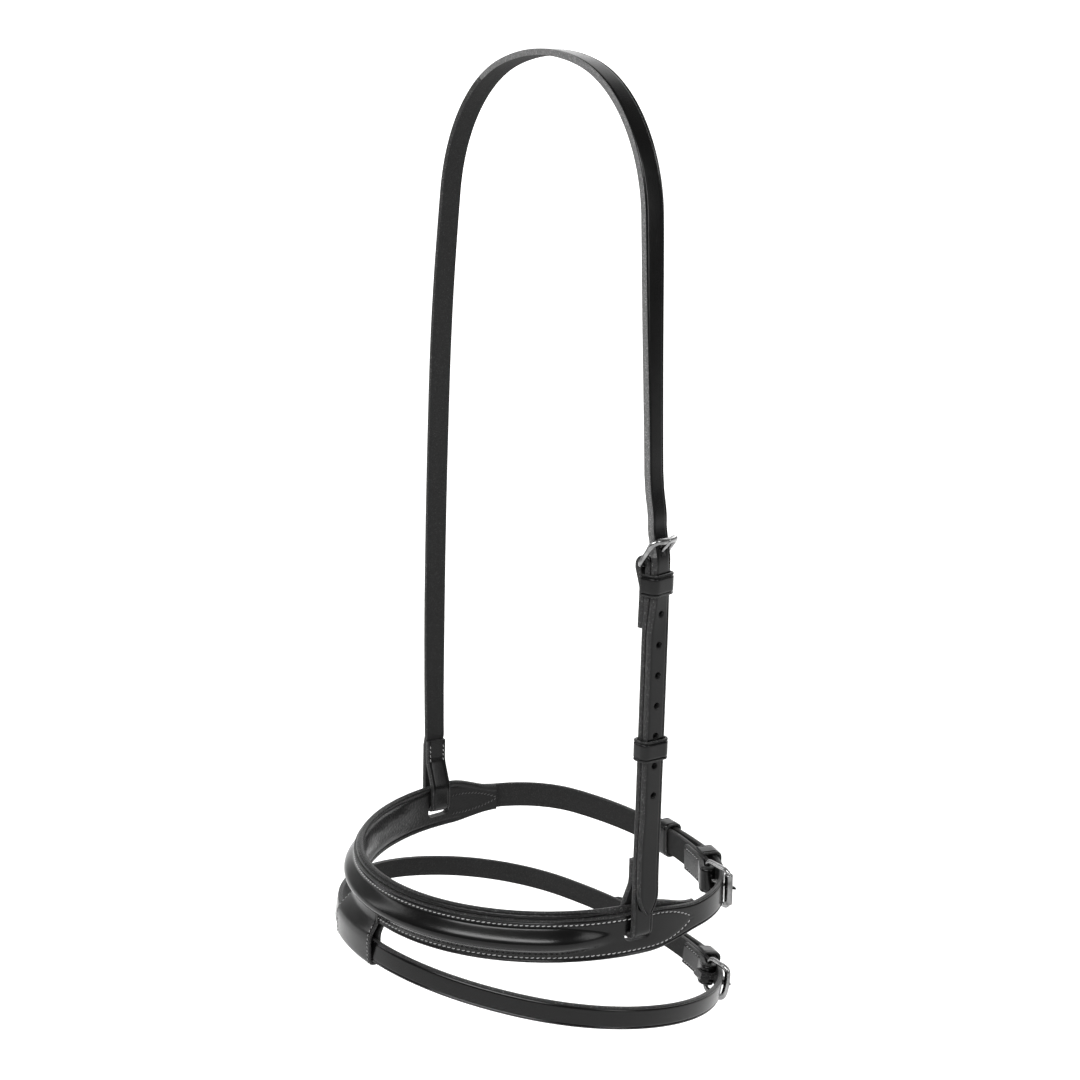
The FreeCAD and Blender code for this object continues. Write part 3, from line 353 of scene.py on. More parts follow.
def cut(obj, solids):
    """Cut solids, given as bmeshes in millimetres, out of a strap."""
    whole = bmesh.new()
    for solid in solids:
        for v in solid.verts:
            v.co = v.co * MM
        part = bpy.data.meshes.new("part")
        solid.to_mesh(part)
        solid.free()
        whole.from_mesh(part)
        bpy.data.meshes.remove(part)
    mesh = bpy.data.meshes.new("cutter")
    whole.to_mesh(mesh)
    whole.free()
    mesh.materials.append(EDGE)
    cutter = bpy.data.objects.new("cutter", mesh)
    bpy.context.collection.objects.link(cutter)
    modifier = obj.modifiers.new("cut", "BOOLEAN")
    modifier.operation = "DIFFERENCE"
    modifier.solver = "EXACT"
    modifier.material_mode = "TRANSFER"
    modifier.object = cutter
    bpy.context.view_layer.update()
    done = bpy.data.meshes.new_from_object(
        obj.evaluated_get(bpy.context.evaluated_depsgraph_get()))
    obj.modifiers.clear()
    old = obj.data
    obj.data = done
    bpy.data.meshes.remove(old)
    bpy.data.objects.remove(cutter)
    done.set_sharp_from_angle(angle=rad(40))


def prism(outline, across, half):
    """Solid from a flat outline of 3-D points, pushed both ways by half."""
    bm = bmesh.new()
    low = [bm.verts.new(p - across * half) for p in outline]
    high = [bm.verts.new(p + across * half) for p in outline]
    bm.faces.new(low[::-1])
    bm.faces.new(high)
    count = len(outline)
    for k in range(count):
        nxt = (k + 1) % count
        bm.faces.new((low[k], low[nxt], high[nxt], high[k]))
    bmesh.ops.recalc_face_normals(bm, faces=bm.faces)
    return bm


def round_box(x, y, rx, ry, corner, steps=5):
    """Flat outline of a box with rounded corners, as (x, y) pairs."""
    out = []
    for cx, cy, start in ((rx, ry, 0), (-rx, ry, 90), (-rx, -ry, 180), (rx, -ry, 270)):
        px = x + math.copysign(rx - corner, cx)
        py = y + math.copysign(ry - corner, cy)
        for k in range(steps + 1):
            a = rad(start + 90 * k / steps)
            out.append((px + corner * math.cos(a), py + corner * math.sin(a)))
    return out


# ---------------------------------------------------------------- head strap
WIDE, THICK = 13.0, 3.5
HALF = THICK / 2
DROP = 466.5
LEAN = Matrix.Rotation(rad(-1.6), 3, "X")
CROWN_R, CROWN_TURN, SHOULDER_R, SHOULDER_TURN, LEG_R = 150.0, 15.0, 88.0, 69.0, 2372.0
CROWN_Z = HALF - CROWN_R
SHOULDER_X = (CROWN_R - SHOULDER_R) * math.sin(rad(CROWN_TURN))
SHOULDER_Z = CROWN_Z + (CROWN_R - SHOULDER_R) * math.cos(rad(CROWN_TURN))
ARCH_END = CROWN_TURN + SHOULDER_TURN
LEG_X = SHOULDER_X + (SHOULDER_R - LEG_R) * math.sin(rad(ARCH_END))
LEG_Z = SHOULDER_Z + (SHOULDER_R - LEG_R) * math.cos(rad(ARCH_END))
CHEEK_X = LEG_X + LEG_R
TWIST = 17.0
BAR_Z = 208.0 - DROP
BAR_U = -1.55 - HALF
BILLET_U = THICK + 0.4
SLOT_TOP, LOOP_END = 3.0, 44.0
EDGE_ROW = 4.6
HOLES, HOLE_PITCH, HOLE_RADIUS = 8, 16.7, 2.0


def arc(cx, cy, radius, start, end, step=2.0):
    """Points and outward normals along an arc, as pairs of pairs."""
    count = max(2, int(abs(rad(end - start)) * radius / step) + 1)
    out = []
    for k in range(count + 1):
        a = rad(start + (end - start) * k / count)
        out.append(((cx + radius * math.cos(a), cy + radius * math.sin(a)),
                    (math.cos(a), math.sin(a))))
    return out


def rounded(corners, radius):
    """Open polyline with rounded corners, with normals on its left side."""
    points = [Vector(c) for c in corners]
    out = []

    def add(p, direction):
        normal = Vector((-direction.y, direction.x))
        if not out or (Vector(out[-1][0]) - p).length > 0.05:
            out.append((tuple(p), tuple(normal)))

    for i, p in enumerate(points):
        if i in (0, len(points) - 1):
            other = points[1] if i == 0 else points[-2]
            add(p, (other - p).normalized() * (1 if i == 0 else -1))
            continue
        before, after = (p - points[i - 1]).normalized(), (points[i + 1] - p).normalized()
        turn = before.angle(after)
        r = radius[i] if isinstance(radius, dict) else radius
        back = min(r * math.tan(turn / 2), 0.48 * (p - points[i - 1]).length,
                   0.48 * (points[i + 1] - p).length)
        start, end = p - before * back, p + after * back
        steps = max(3, int(turn / 0.15))
        for k in range(steps + 1):
            t = k / steps
            spot = start.lerp(p, t).lerp(p.lerp(end, t), t)
            add(spot, before.lerp(after, t).normalized())
    dense = [out[0]]
    for a, b in zip(out, out[1:]):
        gap = (Vector(b[0]) - Vector(a[0])).length
        for k in range(1, int(gap / 3) + 1):
            t = k / (int(gap / 3) + 1)
            dense.append((tuple(Vector(a[0]).lerp(Vector(b[0]), t)),
                          tuple(Vector(a[1]).lerp(Vector(b[1]), t))))
        dense.append(b)
    return dense


def leg_twist(x, z):
    """Turn of the strap about its own length, at a place on the arch."""
    if x > 0:
        upper = TWIST * smooth(-z, 60, 205)
        return upper - 12 * smooth(-z, 275, 297) - 5 * smooth(-z, DROP - 74, DROP - 46)
    return -11.0 * smooth(-z, 60, 190) * (1 - smooth(-z, 330, 415))


def in_leg(x, z, nx, nz, twist):
    """Point and normal of the XZ drawing, turned with its leg and leaned."""
    axis_x = math.copysign(CHEEK_X, x)
    c, s = math.cos(rad(twist)), math.sin(rad(twist))
    return (LEAN @ Vector((axis_x + (x - axis_x) * c, (x - axis_x) * s, z)),
            LEAN @ Vector((nx * c, nx * s, nz)))


def loop_points(side):
    """Loop under the leg, from the sewn end down, round and up to the leg."""
    sewn, inside = CHEEK_X - THICK, CHEEK_X - THICK - 7.0
    floor = -DROP + SLOT_TOP - 1.2 - HALF
    corners = [(sewn, -DROP + LOOP_END), (sewn, -DROP + 30.5), (inside, -DROP + 15),
               (inside, floor), (CHEEK_X, floor), (CHEEK_X, -DROP + 46)]
    return rounded([(x * side, z) for x, z in corners], {1: 14, 2: 12, 3: 4.2, 4: 4.2})


def to_leg(path):
    points, normals = [], []
    for (x, z), (nx, nz) in path:
        p, n = in_leg(x, z, nx, nz, leg_twist(x, z))
        points.append(p)
        normals.append(n)
    return points, normals


def stitch_line(points, normals, wanted, offset, face):
    """Stitch line at an offset across a strap, on one of its faces."""
    return [(p + w * offset + n * face, n * math.copysign(1, face))
            for i, (p, _, n, w) in enumerate(frames(points, normals)) if wanted(i, p, n)]


def head_strap():
    loop_top = math.degrees(math.asin((-DROP + 47 - LEG_Z) / LEG_R))
    near_end = math.degrees(math.asin((-210 - LEG_Z) / LEG_R))
    arch = arc(-LEG_X, LEG_Z, LEG_R, 180 - loop_top, 90 + ARCH_END, 4)
    arch += arc(-SHOULDER_X, SHOULDER_Z, SHOULDER_R, 90 + ARCH_END, 90 + CROWN_TURN, 3)[1:]
    arch += arc(0, CROWN_Z, CROWN_R, 90 + CROWN_TURN, 90 - CROWN_TURN, 3)[1:]
    arch += arc(SHOULDER_X, SHOULDER_Z, SHOULDER_R, 90 - CROWN_TURN, 90 - ARCH_END, 3)[1:]
    arch += arc(LEG_X, LEG_Z, LEG_R, 90 - ARCH_END, near_end, 4)[1:]
    points, normals = to_leg(loop_points(-1))
    check = frames(points, normals)
    if check[len(check) // 3][2].x < 0:
        normals = [-n for n in normals]
    points, normals = points[:-2], normals[:-2]
    above = to_leg(arch)
    points += above[0]
    normals += above[1]
    z = -216.0
    tip = -DROP + 13.5
    while z > tip:
        out = 0.6 + (BILLET_U - 0.6) * smooth(-z, -BAR_Z - 22.5, -BAR_Z - 1)
        if z > BAR_Z + 22.5:
            out = -2.3 + 2.9 * smooth(-z, 214, -BAR_Z - 22.5)
        out += 0.9 * smooth(-z, DROP - 40, DROP - 14)
        p, n = in_leg(CHEEK_X + out, z, 1, 0, leg_twist(1, z))
        points.append(p)
        normals.append(n)
        z -= 2.5 if z > tip + 18 else 0.8
    run = lengths(points)

    def width(s, i):
        left = run[-1] - s
        if left > 13:
            return WIDE
        return max(1.6, WIDE * math.sin(math.pi / 2 * min(1, left / 13)) ** 0.6)

    obj = strap("head_strap_leather", points, normals, width, THICK, "headpiece",
                ["head_strap"], inner=5, mats=HEAD_MATERIALS)
    up = LEAN @ Vector((0, 0, 1))
    solids = []
    for number in range(1, HOLES + 1):
        z = BAR_Z + 7.5 - number * HOLE_PITCH
        middle, outward = in_leg(CHEEK_X + BILLET_U, z, 1, 0, leg_twist(1, z))
        across = outward.cross(up).normalized()
        ring = [middle + across * (HOLE_RADIUS * math.cos(a)) + up * (HOLE_RADIUS * math.sin(a))
                for a in (2 * math.pi * k / 20 for k in range(20))]
        solids.append(prism(ring, outward, 4))
    solids.append(tongue_passage(CHEEK_FRAME, 17.0, 2.95))
    cut(obj, solids)
    # Painted highlight: cut edges on the near side and over the crown, above the cheek buckle, take
    # the lighter edge copy. The far leg and the strap below the buckle keep the darker edge.
    for face in obj.data.polygons:
        if face.material_index == 1 and face.center.x > -0.06 and face.center.z > -0.254:
            face.material_index = 3

    def sewn(i, p, n):
        return 1.2 < run[i] < 15.5

    def outside(i, p, n):
        return p.x < 0 and -DROP + 28 < p.z < -DROP + 43 and n.x < -0.9

    rows = [stitch_line(points, normals, sewn, side * EDGE_ROW, face * HALF)
            for side in (1, -1) for face in (1, -1)]
    rows += [stitch_line(points, normals, outside, side * EDGE_ROW, HALF) for side in (1, -1)]
    stitches("far_loop_stitches", [r for r in rows if len(r) > 2], "headpiece", pitch=2.8,
             long=1.9, wide=0.5)


class Frame:
    """Place of a buckle: its bar, and the directions out, along the bar and
    towards the front bar."""

    def __init__(self, origin, out, along, tilt):
        self.origin = origin
        across = along.cross(out).normalized()
        turn = Matrix.Rotation(rad(tilt), 3, across)
        self.flat = (out, along, across)
        self.out, self.front, self.across = turn @ out, turn @ along, across

    def at(self, x, y, z):
        return self.origin + self.out * x + self.across * y + self.front * z


def tongue_passage(place, reach, low_gap, turns=(-1, 26), half=1.6):
    """Drawn-out hole for a tongue, from the frame's own line outwards."""
    outline = []
    for turn, radius in ((turns[0], low_gap), (turns[0], reach - 2), (turns[1], reach - 2),
                         (turns[1], low_gap)):
        outline.append(place.at(radius * math.sin(rad(turn)), 0, radius * math.cos(rad(turn))))
    return prism(outline, place.across, half)


def cheek_frame():
    origin, out = in_leg(CHEEK_X + BAR_U, BAR_Z, 1, 0, TWIST)
    return Frame(origin, out, LEAN @ Vector((0, 0, 1)), 33.0)


CHEEK_FRAME = cheek_frame()


def near_cheek_strap():
    points, normals = to_leg(loop_points(1)[:-1])
    z = -DROP + 47
    path = []
    while z < BAR_Z - 1:
        path.append(((CHEEK_X, z), (1, 0)))
        z += 3
    path += arc(CHEEK_X + BAR_U, BAR_Z, -BAR_U, 0, 180, 0.8)
    turned = CHEEK_X + 2 * BAR_U
    tail = rounded([(turned, BAR_Z - 0.5), (turned, BAR_Z - 1.8), (CHEEK_X - THICK, BAR_Z - 12),
                    (CHEEK_X - THICK, BAR_Z - 34)], 8)
    path += [(p, (-1, 0)) for p, _ in tail]
    above = to_leg(path)
    check = frames(points, normals)
    if check[len(check) // 3][2].x > 0:
        normals = [-n for n in normals]
    points += above[0]
    normals += above[1]
    obj = strap("near_cheek_leather", points, normals, WIDE, THICK, "headpiece",
                ["near_cheek_strap"])
    out, along, across = CHEEK_FRAME.flat
    at = CHEEK_FRAME.origin
    window = [at + out * x + along * z for x, z in ((-7, -3.2), (4.6, -3.2), (4.6, 7), (-7, 7))]
    cut(obj, [prism(window, across, 1.7)])
    run = lengths(points)
    rows = [stitch_line(points, normals, lambda i, p, n: start < run[i] < end, side * EDGE_ROW, HALF)
            for side in (1, -1)
            for start, end in ((1.2, 15.5), (run[-1] - 21, run[-1] - 1.2))]
    stitches("near_strap_stitches", [r for r in rows if len(r) > 2], "headpiece", pitch=2.8,
             long=1.9, wide=0.5)


# --------------------------------------------------------------------- rings
LAP = 4.3
SIDE_TURN, NEAR_TURN, FAR_TURN = 15.0, 81.0, 71.0


class Ring:
    """Plan of a strap round the muzzle, in its own level plane."""

    def __init__(self, front, side, depth, bar_angle, tip, thick=2.8):
        self.front, self.side, self.thick, self.bar_angle = front, side, thick, bar_angle
        self.tip = tip
        self.rise = (front - side) * math.cos(rad(45))
        self.width = side + self.rise
        self.near = self.rear(depth + LAP, NEAR_TURN)
        self.far = self.rear(depth, FAR_TURN)

    def rear(self, depth, turned):
        sine, cosine = math.sin(rad(turned)), math.cos(rad(turned))
        rise, run = math.sin(rad(SIDE_TURN)), math.cos(rad(SIDE_TURN))
        start = self.width - self.side * (1 - run)
        corner = ((depth - self.side * rise - (1 - sine) * start / cosine)
                  / (sine - rise - (1 - sine) * (run - cosine) / cosine))
        rear = (start - corner * (run - cosine)) / cosine
        middle = (self.width - self.side + (self.side - corner) * run,
                  (self.side - corner) * rise)
        return corner, rear, depth - rear, middle

    def sides(self, offset):
        """From the near side arc round the front to the far one."""
        cx = self.width - self.side
        path = arc(cx, 0, self.side + offset, SIDE_TURN, -45)
        path += arc(0, self.rise, self.front + offset, -45, -135)[1:]
        path += arc(-cx, 0, self.side + offset, -135, -180 - SIDE_TURN)[1:]
        return path

    def bar(self):
        _, rear, centre, _ = self.far
        reach = rear - self.thick / 2 - 1.55
        a = rad(self.bar_angle)
        return reach * math.cos(a), centre + reach * math.sin(a)

    def path(self):
        corner, rear, centre, middle = self.near
        path = arc(0, centre, rear, self.tip, NEAR_TURN)
        path += arc(middle[0], middle[1], corner, NEAR_TURN, SIDE_TURN)[1:]
        path += self.sides(0)[1:]
        corner, rear, centre, middle = self.far
        path += arc(-middle[0], middle[1], corner, 180 - SIDE_TURN, 180 - FAR_TURN)[1:]
        path += arc(0, centre, rear, 180 - FAR_TURN, self.bar_angle)[1:]
        bx, by = self.bar()
        fold = 1.55 + self.thick / 2
        path += arc(bx, by, fold, self.bar_angle, self.bar_angle - 180, 0.7)[1:]
        inner = rear - self.thick
        close = self.bar_angle + math.degrees(12 / rear)
        end = self.bar_angle + math.degrees(34 / rear)
        a = rad(self.bar_angle - 180)
        ox, oy = math.cos(a), math.sin(a)
        along = (math.cos(rad(self.bar_angle + 90)), math.sin(rad(self.bar_angle + 90)))
        back = (bx + fold * ox + 1.8 * along[0], by + fold * oy + 1.8 * along[1])
        path.append((back, (ox, oy)))
        for p, n in arc(0, centre, inner, close, end):
            path.append((p, (-n[0], -n[1])))
        return path

    def lap(self, angle):
        """Outer face of the upper layer from the middle of the lower one."""
        corner, rear, centre, middle = self.near
        _, low, low_centre, _ = self.far
        ray = Vector((math.cos(rad(angle)), math.sin(rad(angle))))
        start = Vector((0, low_centre))

        def reach(mid, radius):
            offset = start - Vector(mid)
            along = offset.dot(ray)
            return -along + math.sqrt(along ** 2 - offset.dot(offset) + radius ** 2)

        hit = start + ray * reach((0, centre), rear + self.thick / 2)
        if math.degrees(math.atan2(hit.y - centre, hit.x)) < NEAR_TURN:
            hit = start + ray * reach(middle, corner + self.thick / 2)
        return (hit - start).length - low


NOSE = Ring(113.0, 113.0, 80.0, 71.0, 93.0)
FLASH = Ring(137.0, 100.0, 94.0, 68.0, 98.0)
NOSE_PLACE = Matrix.Translation((0, 0, -DROP))
FLASH_PLACE = (Matrix.Translation((0, -117, -DROP - 28.4)) @ Matrix.Rotation(rad(-10.8), 4, "X")
               @ Matrix.Rotation(rad(4.1), 4, "Z")
               @ Matrix.Translation((0, FLASH.front - FLASH.rise, 0)))


def placed(path, place, height=0.0):
    turn = place.to_3x3()
    points = [place @ Vector((x, y, height)) for (x, y), _ in path]
    normals = [turn @ Vector((nx, ny, 0)) for _, (nx, ny) in path]
    return points, normals


def ring_frame(ring, place, tilt):
    bx, by = ring.bar()
    a = rad(ring.bar_angle)
    turn = place.to_3x3()
    out = turn @ Vector((math.cos(a), math.sin(a), 0))
    along = turn @ Vector((math.sin(a), -math.cos(a), 0))
    return Frame(place @ Vector((bx, by, 0)), out, along, tilt)


CHIN_FRAME = ring_frame(NOSE, NOSE_PLACE, 19.8)
FLASH_FRAME = ring_frame(FLASH, FLASH_PLACE, 17.8)


def fold_window(place, thick, half):
    out, along, across = place.flat
    reach = 1.55 + thick
    window = [place.origin + out * x + along * z
              for x, z in ((-reach - 2, -3.0), (reach + 0.6, -3.0),
                           (reach + 0.6, reach + 2), (-reach - 2, reach + 2))]
    return prism(window, across, half)


def leaf(y, start, end):
    """Height of the noseband's stitch line where it closes to a leaf tip."""
    t = min(1.0, max(0.0, (y - start) / (end - start)))
    return 1 - t ** 2.4


LEAF_START, LEAF_END = -6.0, 25.0
ROW = 9.3


def slot_solid(side):
    """Slot for the loop; the far one is drawn open by the hanging ring."""
    low = -3.8 if side > 0 else -5.2
    x = side * math.sqrt(NOSE.front ** 2 - 13 ** 2)
    outline = [NOSE_PLACE @ Vector((x, y, z))
               for y, z in round_box(-13.0, (3.0 + low) / 2, 8.0, (3.0 - low) / 2, 3.3)]
    return prism(outline, Vector((1, 0, 0)), 9)


def nose_width(y):
    return 25.0 - 9.0 * smooth(y, -6, 32)


def nose_leather():
    path = NOSE.path()
    points, normals = placed(path, NOSE_PLACE)
    run = lengths(points)

    def on_rear(i):
        return run[i] < 60 or run[i] > run[-1] - 150

    def width(s, i):
        y = path[i][0][1]
        full = 16.0 if on_rear(i) and y > 32 else nose_width(y)
        if s < 13:
            return max(0.9, full * math.sin(math.pi / 2 * min(1, (s + 0.1) / 13)) ** 0.72)
        return full

    def relief(i, w, a):
        y = path[i][0][1]
        if y > 50:
            return 0.0
        swell = 1 - smooth(y, -58, -23)
        half = 7.9 * (0.3 + 0.7 * swell ** 0.6)
        high = 0.0
        if abs(w) < half:
            high = 6.0 * swell * (0.5 + 0.5 * math.cos(math.pi * w / half)) ** 0.62
        line = ROW * leaf(y, LEAF_START, LEAF_END)
        groove = math.exp(-((abs(w) - line) / 0.55) ** 2) if y < LEAF_END else 0.0
        slot = math.exp(-((y + 13) / 11) ** 4) * math.exp(-((w + 0.3) / 5.2) ** 4)
        return high - 0.3 * groove - 0.35 * slot

    obj = strap("nose_leather", points, normals, width, 2.8, "noseband",
                ["noseband_strap", "nose_roll_core"], inner=31, relief=relief, crown=0.05)
    cut(obj, [slot_solid(1), slot_solid(-1), fold_window(CHIN_FRAME, 2.8, 1.8),
              tongue_passage(CHIN_FRAME, 20.0, 3.2, (-1, 24), 1.5)])
    return points, normals, path


def nose_stitches(points, normals, path):
    stations = frames(points, normals)
    rows = []
    for side in (1, -1):
        line = []
        for i in range(21, len(path) - 60):
            y = path[i][0][1]
            if y < LEAF_END - 0.2:
                p, _, n, w = stations[i]
                high = ROW * leaf(y, LEAF_START, LEAF_END)
                line.append((p + w * (side * high) + n * 1.22, n))
        rows.append(line)
    stitches("nose_stitches", rows, "noseband", ["nose_thread_upper", "nose_thread_lower"])


def nose_lining():
    """Padded lining: a rolled top lip, a long soft pad and a flat hem."""
    path = NOSE.sides(-2.67)
    path = [(p, (-n[0], -n[1])) for p, n in path]
    points, normals = placed(path, NOSE_PLACE)
    total = lengths(points)

    def narrow(y):
        return smooth(y, -4, 30)

    def width(s, i):
        y = path[i][0][1]
        return 28.5 - 12.0 * narrow(y)

    def shift(s, i):
        y = path[i][0][1]
        return -(16.0 - 12.5) / 2 * (1 - narrow(y))

    def relief(i, w, a):
        y = path[i][0][1]
        z = -(w + shift(0, i))
        fat = 1 - smooth(y, -56, -24)
        top = 16.0 - 8 * narrow(y)
        lip = 0.9 * math.exp(-((z - (top - 1.9)) / 1.5) ** 2)
        seam = -0.55 * math.exp(-((z - (top - 4.4)) / 0.55) ** 2)
        middle = 1.0
        pad = 2.9 * fat * max(0.0, 1 - (abs(z - middle) / 10.4) ** 2.4)
        hem = -0.45 * math.exp(-((z + 9.6) / 0.6) ** 2)
        soft = 0.22 * fat * math.sin(total[i] * 0.21 + z * 0.35) * math.exp(-((z - 4) / 5) ** 2)
        if y > 5:
            seam = hem = 0.0
        return lip + seam + pad + hem + soft

    obj = strap("nose_lining_pad", points, normals, width, 2.5, "noseband", ["nose_lining"],
                crease=0.0, relief=relief, shift=shift, inner=41, crown=0.0,
                mats=[SOFT, SOFT, SOFT])
    cut(obj, [slot_solid(1), slot_solid(-1)])
    top = [(p, n) for p, n in NOSE.sides(-1.9) if p[1] < -23]
    lip = placed(top, NOSE_PLACE, 13.3)
    pipe = tube("nose_lip", lip[0], lambda i: 1.9 * (1 - 0.85 * smooth(top[i][0][1], -46, -24)),
                "noseband", (), [SOFT], normals=lip[1], sides=12)


def lining_stitches():
    rows = []
    for side in (1, -1):
        for hand in (1, -1):
            base = [(p, n) for p, n in NOSE.sides(-4.0) if p[0] * hand > 0 and p[1] > -4]
            if hand < 0:
                base = base[::-1]
            rows.append([(NOSE_PLACE @ Vector((x, y, side * 6.2 * leaf(y, 0.0, 29.0))),
                          Vector((-n[0], -n[1], 0))) for (x, y), n in base])
    stitches("lining_stitches", rows, "noseband", pitch=2.2, long=2.0, wide=0.55, slant=38,
             mat=DARK_THREAD)


def flash_strap():
    path = FLASH.path()
    points, normals = placed(path, FLASH_PLACE)

    def width(s, i):
        if s < 12:
            return max(0.9, 13.0 * math.sin(math.pi / 2 * min(1, (s + 0.1) / 12)) ** 0.72)
        return 13.0

    obj = strap("flash_leather", points, normals, width, 2.8, "flash", ["flash_strap"])
    solids = [fold_window(FLASH_FRAME, 2.8, 1.8),
              tongue_passage(FLASH_FRAME, 17.0, 3.0, (-1, 24), 1.5)]
    cut(obj, solids)
    ring_stitches("flash_stitches", points, normals, 4.7, "flash")


def ring_stitches(name, points, normals, offset, body):
    """Rows on the turned and sewn end behind the hinge bar."""
    run = lengths(points)
    rows = [stitch_line(points, normals, lambda i, p, n: run[-1] - 21 < run[i] < run[-1] - 1,
                side * offset, 1.4) for side in (1, -1)]
    stitches(name, rows, body, pitch=2.8, long=1.9, wide=0.5)


# ------------------------------------------------------------ keepers, buckles
def band(name, origin, out, along, width, inner, outer, body, node, fixed):
    """Keeper or runner: a leather band round the layers of a strap."""
    across = along.cross(out).normalized()
    side = width / 2 + 1.1 + 0.75
    front, back = outer + 0.5 + 0.75, inner - 0.4 - 0.75
    if fixed:
        corners = [(back + 1.15, -side), (front, -side), (front, side), (back + 1.15, side)]
        path = rounded([(y, x) for x, y in corners], 3.6)
        closed = False
    else:
        path = []
        outline = round_box(0, (front + back) / 2, side, (front - back) / 2, 3.0, 7)
        for k, p in enumerate(outline):
            q = outline[(k + 1) % len(outline)]
            path.append((p, None))
            gap = math.dist(p, q)
            for j in range(1, int(gap / 1.5) + 1):
                t = j / (int(gap / 1.5) + 1)
                path.append(((p[0] + (q[0] - p[0]) * t, p[1] + (q[1] - p[1]) * t), None))
        closed = True
    points = [origin + across * y + out * x for (y, x), _ in path]
    centre = origin + out * ((front + back) / 2)
    normals = []
    count = len(points)
    for k in range(count):
        a = points[(k - 1) % count] if closed or k else points[0]
        b = points[(k + 1) % count] if closed or k < count - 1 else points[-1]
        normal = (b - a).cross(along).normalized()
        if normal.dot(points[k] - centre) < 0:
            normal = -normal
        normals.append(normal)
    strap(name, points, normals, 11.8, 1.5, body, [node], crease=0.42, closed=closed,
          inner=5, crown=0.10)


def keepers():
    for name, node, height, fixed, body in (
            ("cheek_keeper_leather", "cheek_fixed_keeper", 198.0, True, "headpiece"),
            ("cheek_runner_leather", "cheek_runner", 107.5, False, "cheek_runner")):
        origin, out = in_leg(CHEEK_X, height - DROP, 1, 0, leg_twist(1, height - DROP))
        band(name, origin, out, LEAN @ Vector((0, 0, 1)), WIDE, -HALF, BILLET_U + HALF, body,
             node, fixed)
    for name, node, ring, place, angle, width, fixed, body in (
            ("chin_keeper_leather", "chin_fixed_keeper", NOSE, NOSE_PLACE, 75.4, 16.0, True,
             "noseband"),
            ("chin_runner_leather", "chin_runner", NOSE, NOSE_PLACE, 87.6, 16.0, False,
             "chin_runner"),
            ("flash_keeper_leather", "flash_fixed_keeper", FLASH, FLASH_PLACE, 72.4, 13.0,
             True, "flash")):
        _, rear, centre, _ = ring.far
        a = rad(angle)
        turn = place.to_3x3()
        origin = place @ Vector((rear * math.cos(a), centre + rear * math.sin(a), 0))
        out = turn @ Vector((math.cos(a), math.sin(a), 0))
        along = turn @ Vector((math.sin(a), -math.cos(a), 0))
        band(name, origin, out, along, width, -ring.thick / 2, ring.lap(angle) + 0.3, body,
             node, fixed)


def buckle(name, place, width, length, arch, body, node):
    """Cast frame: an oval bar bent round, with a bowed front bar."""
    half = width / 2 + 1.4 + 1.5
    points, sizes = [], []
    outline = round_box(0, length / 2, half, length / 2, 3.4, 8)
    dense = []
    for k, p in enumerate(outline):
        q = outline[(k + 1) % len(outline)]
        gap = math.dist(p, q)
        steps = int(gap / 1.2) + 1
        dense += [(p[0] + (q[0] - p[0]) * j / steps, p[1] + (q[1] - p[1]) * j / steps)
                  for j in range(steps)]
    for y, z in dense:
        bow = arch * (1 - (y / half) ** 2) * smooth(z, length * 0.55, length)
        forward = 0.25 * arch * (1 - (y / half) ** 2) * smooth(z, length * 0.9, length)
        points.append(place.at(bow, y, z + forward))
        sizes.append(1.5 + 0.35 * smooth(z, length * 0.5, length) * (0 if arch == 0 else 1))
    normals = [place.out] * len(points)
    return tube(name, points, lambda i: sizes[i], body, [node], normals=normals, closed=True,
                squash=0.92, sides=16)


def tongue(name, place, length, front, body, node):
    """Eye bent round the hinge bar, then a tapered pin over the front bar."""
    slope = math.asin((front + 1.1 + 0.35) / length)
    eye = 1.55 + 0.8
    points, sizes, normals = [], [], []
    start = math.pi - 0.25
    stop = -1.5 * math.pi + 2.2
    for k in range(22):
        a = start + (stop - start) * k / 21
        points.append(place.at(eye * math.sin(a), 0, eye * math.cos(a)))
        sizes.append(0.8)
    cos, sin = math.cos(slope), math.sin(slope)
    reach = length / cos + 2.0
    last = points[-1]
    tip = 24
    for k in range(1, tip + 1):
        t = k / tip
        z = 2.2 + (reach - 2.2) * t
        droop = -0.55 * max(0.0, (t - 0.82) / 0.18) ** 2
        line = place.at(z * sin + droop * cos, 0, z * cos)
        joined = smooth(t, 0.0, 0.22)
        points.append(last.lerp(line, joined) if joined < 1 else line)
        sizes.append((0.8 + 0.3 * smooth(t, 0, 0.25)) * (1 - 0.12 * t)
                     * (1 if k < tip - 1 else (0.75 if k == tip - 1 else 0.35)))
    normals = [place.across] * len(points)
    return tube(name, points, lambda i: sizes[i], body, [node], normals=normals, sides=12)


def roller():
    """Rolled tube with a lap seam and turned-in rims."""
    length = 16.0 + 2 * 1.4 - 0.6
    centre = CHIN_FRAME.at(0, 0, 20.0)
    axis, out, front = CHIN_FRAME.across, CHIN_FRAME.out, CHIN_FRAME.front
    bm = bmesh.new()
    profile = [(-0.5, 1.6), (-0.5, 2.15), (-0.485, 2.38), (-0.46, 2.45), (-0.40, 2.42),
               (0.0, 2.38), (0.40, 2.42), (0.46, 2.45), (0.485, 2.38), (0.5, 2.15), (0.5, 1.6)]
    sides = 32
    rings = []
    for u, r in profile:
        ring = []
        for k in range(sides):
            a = 2 * math.pi * k / sides
            step = 0.12 if k in (0, 1) else 0.0
            place = centre + axis * (u * length) + (out * math.cos(a) + front * math.sin(a)) * (
                r - (step if 1.7 < r else 0))
            ring.append(bm.verts.new(place * MM))
        rings.append(ring)
    rings.append(rings[0])
    for one, two in zip(rings, rings[1:]):
        for k in range(sides):
            bm.faces.new((one[k], one[(k + 1) % sides], two[(k + 1) % sides], two[k]))
    bmesh.ops.recalc_face_normals(bm, faces=bm.faces)
    finish_mesh("chin_roller_tube", bm, [WORN], "chin_roller", ["chin_roller"], 35)


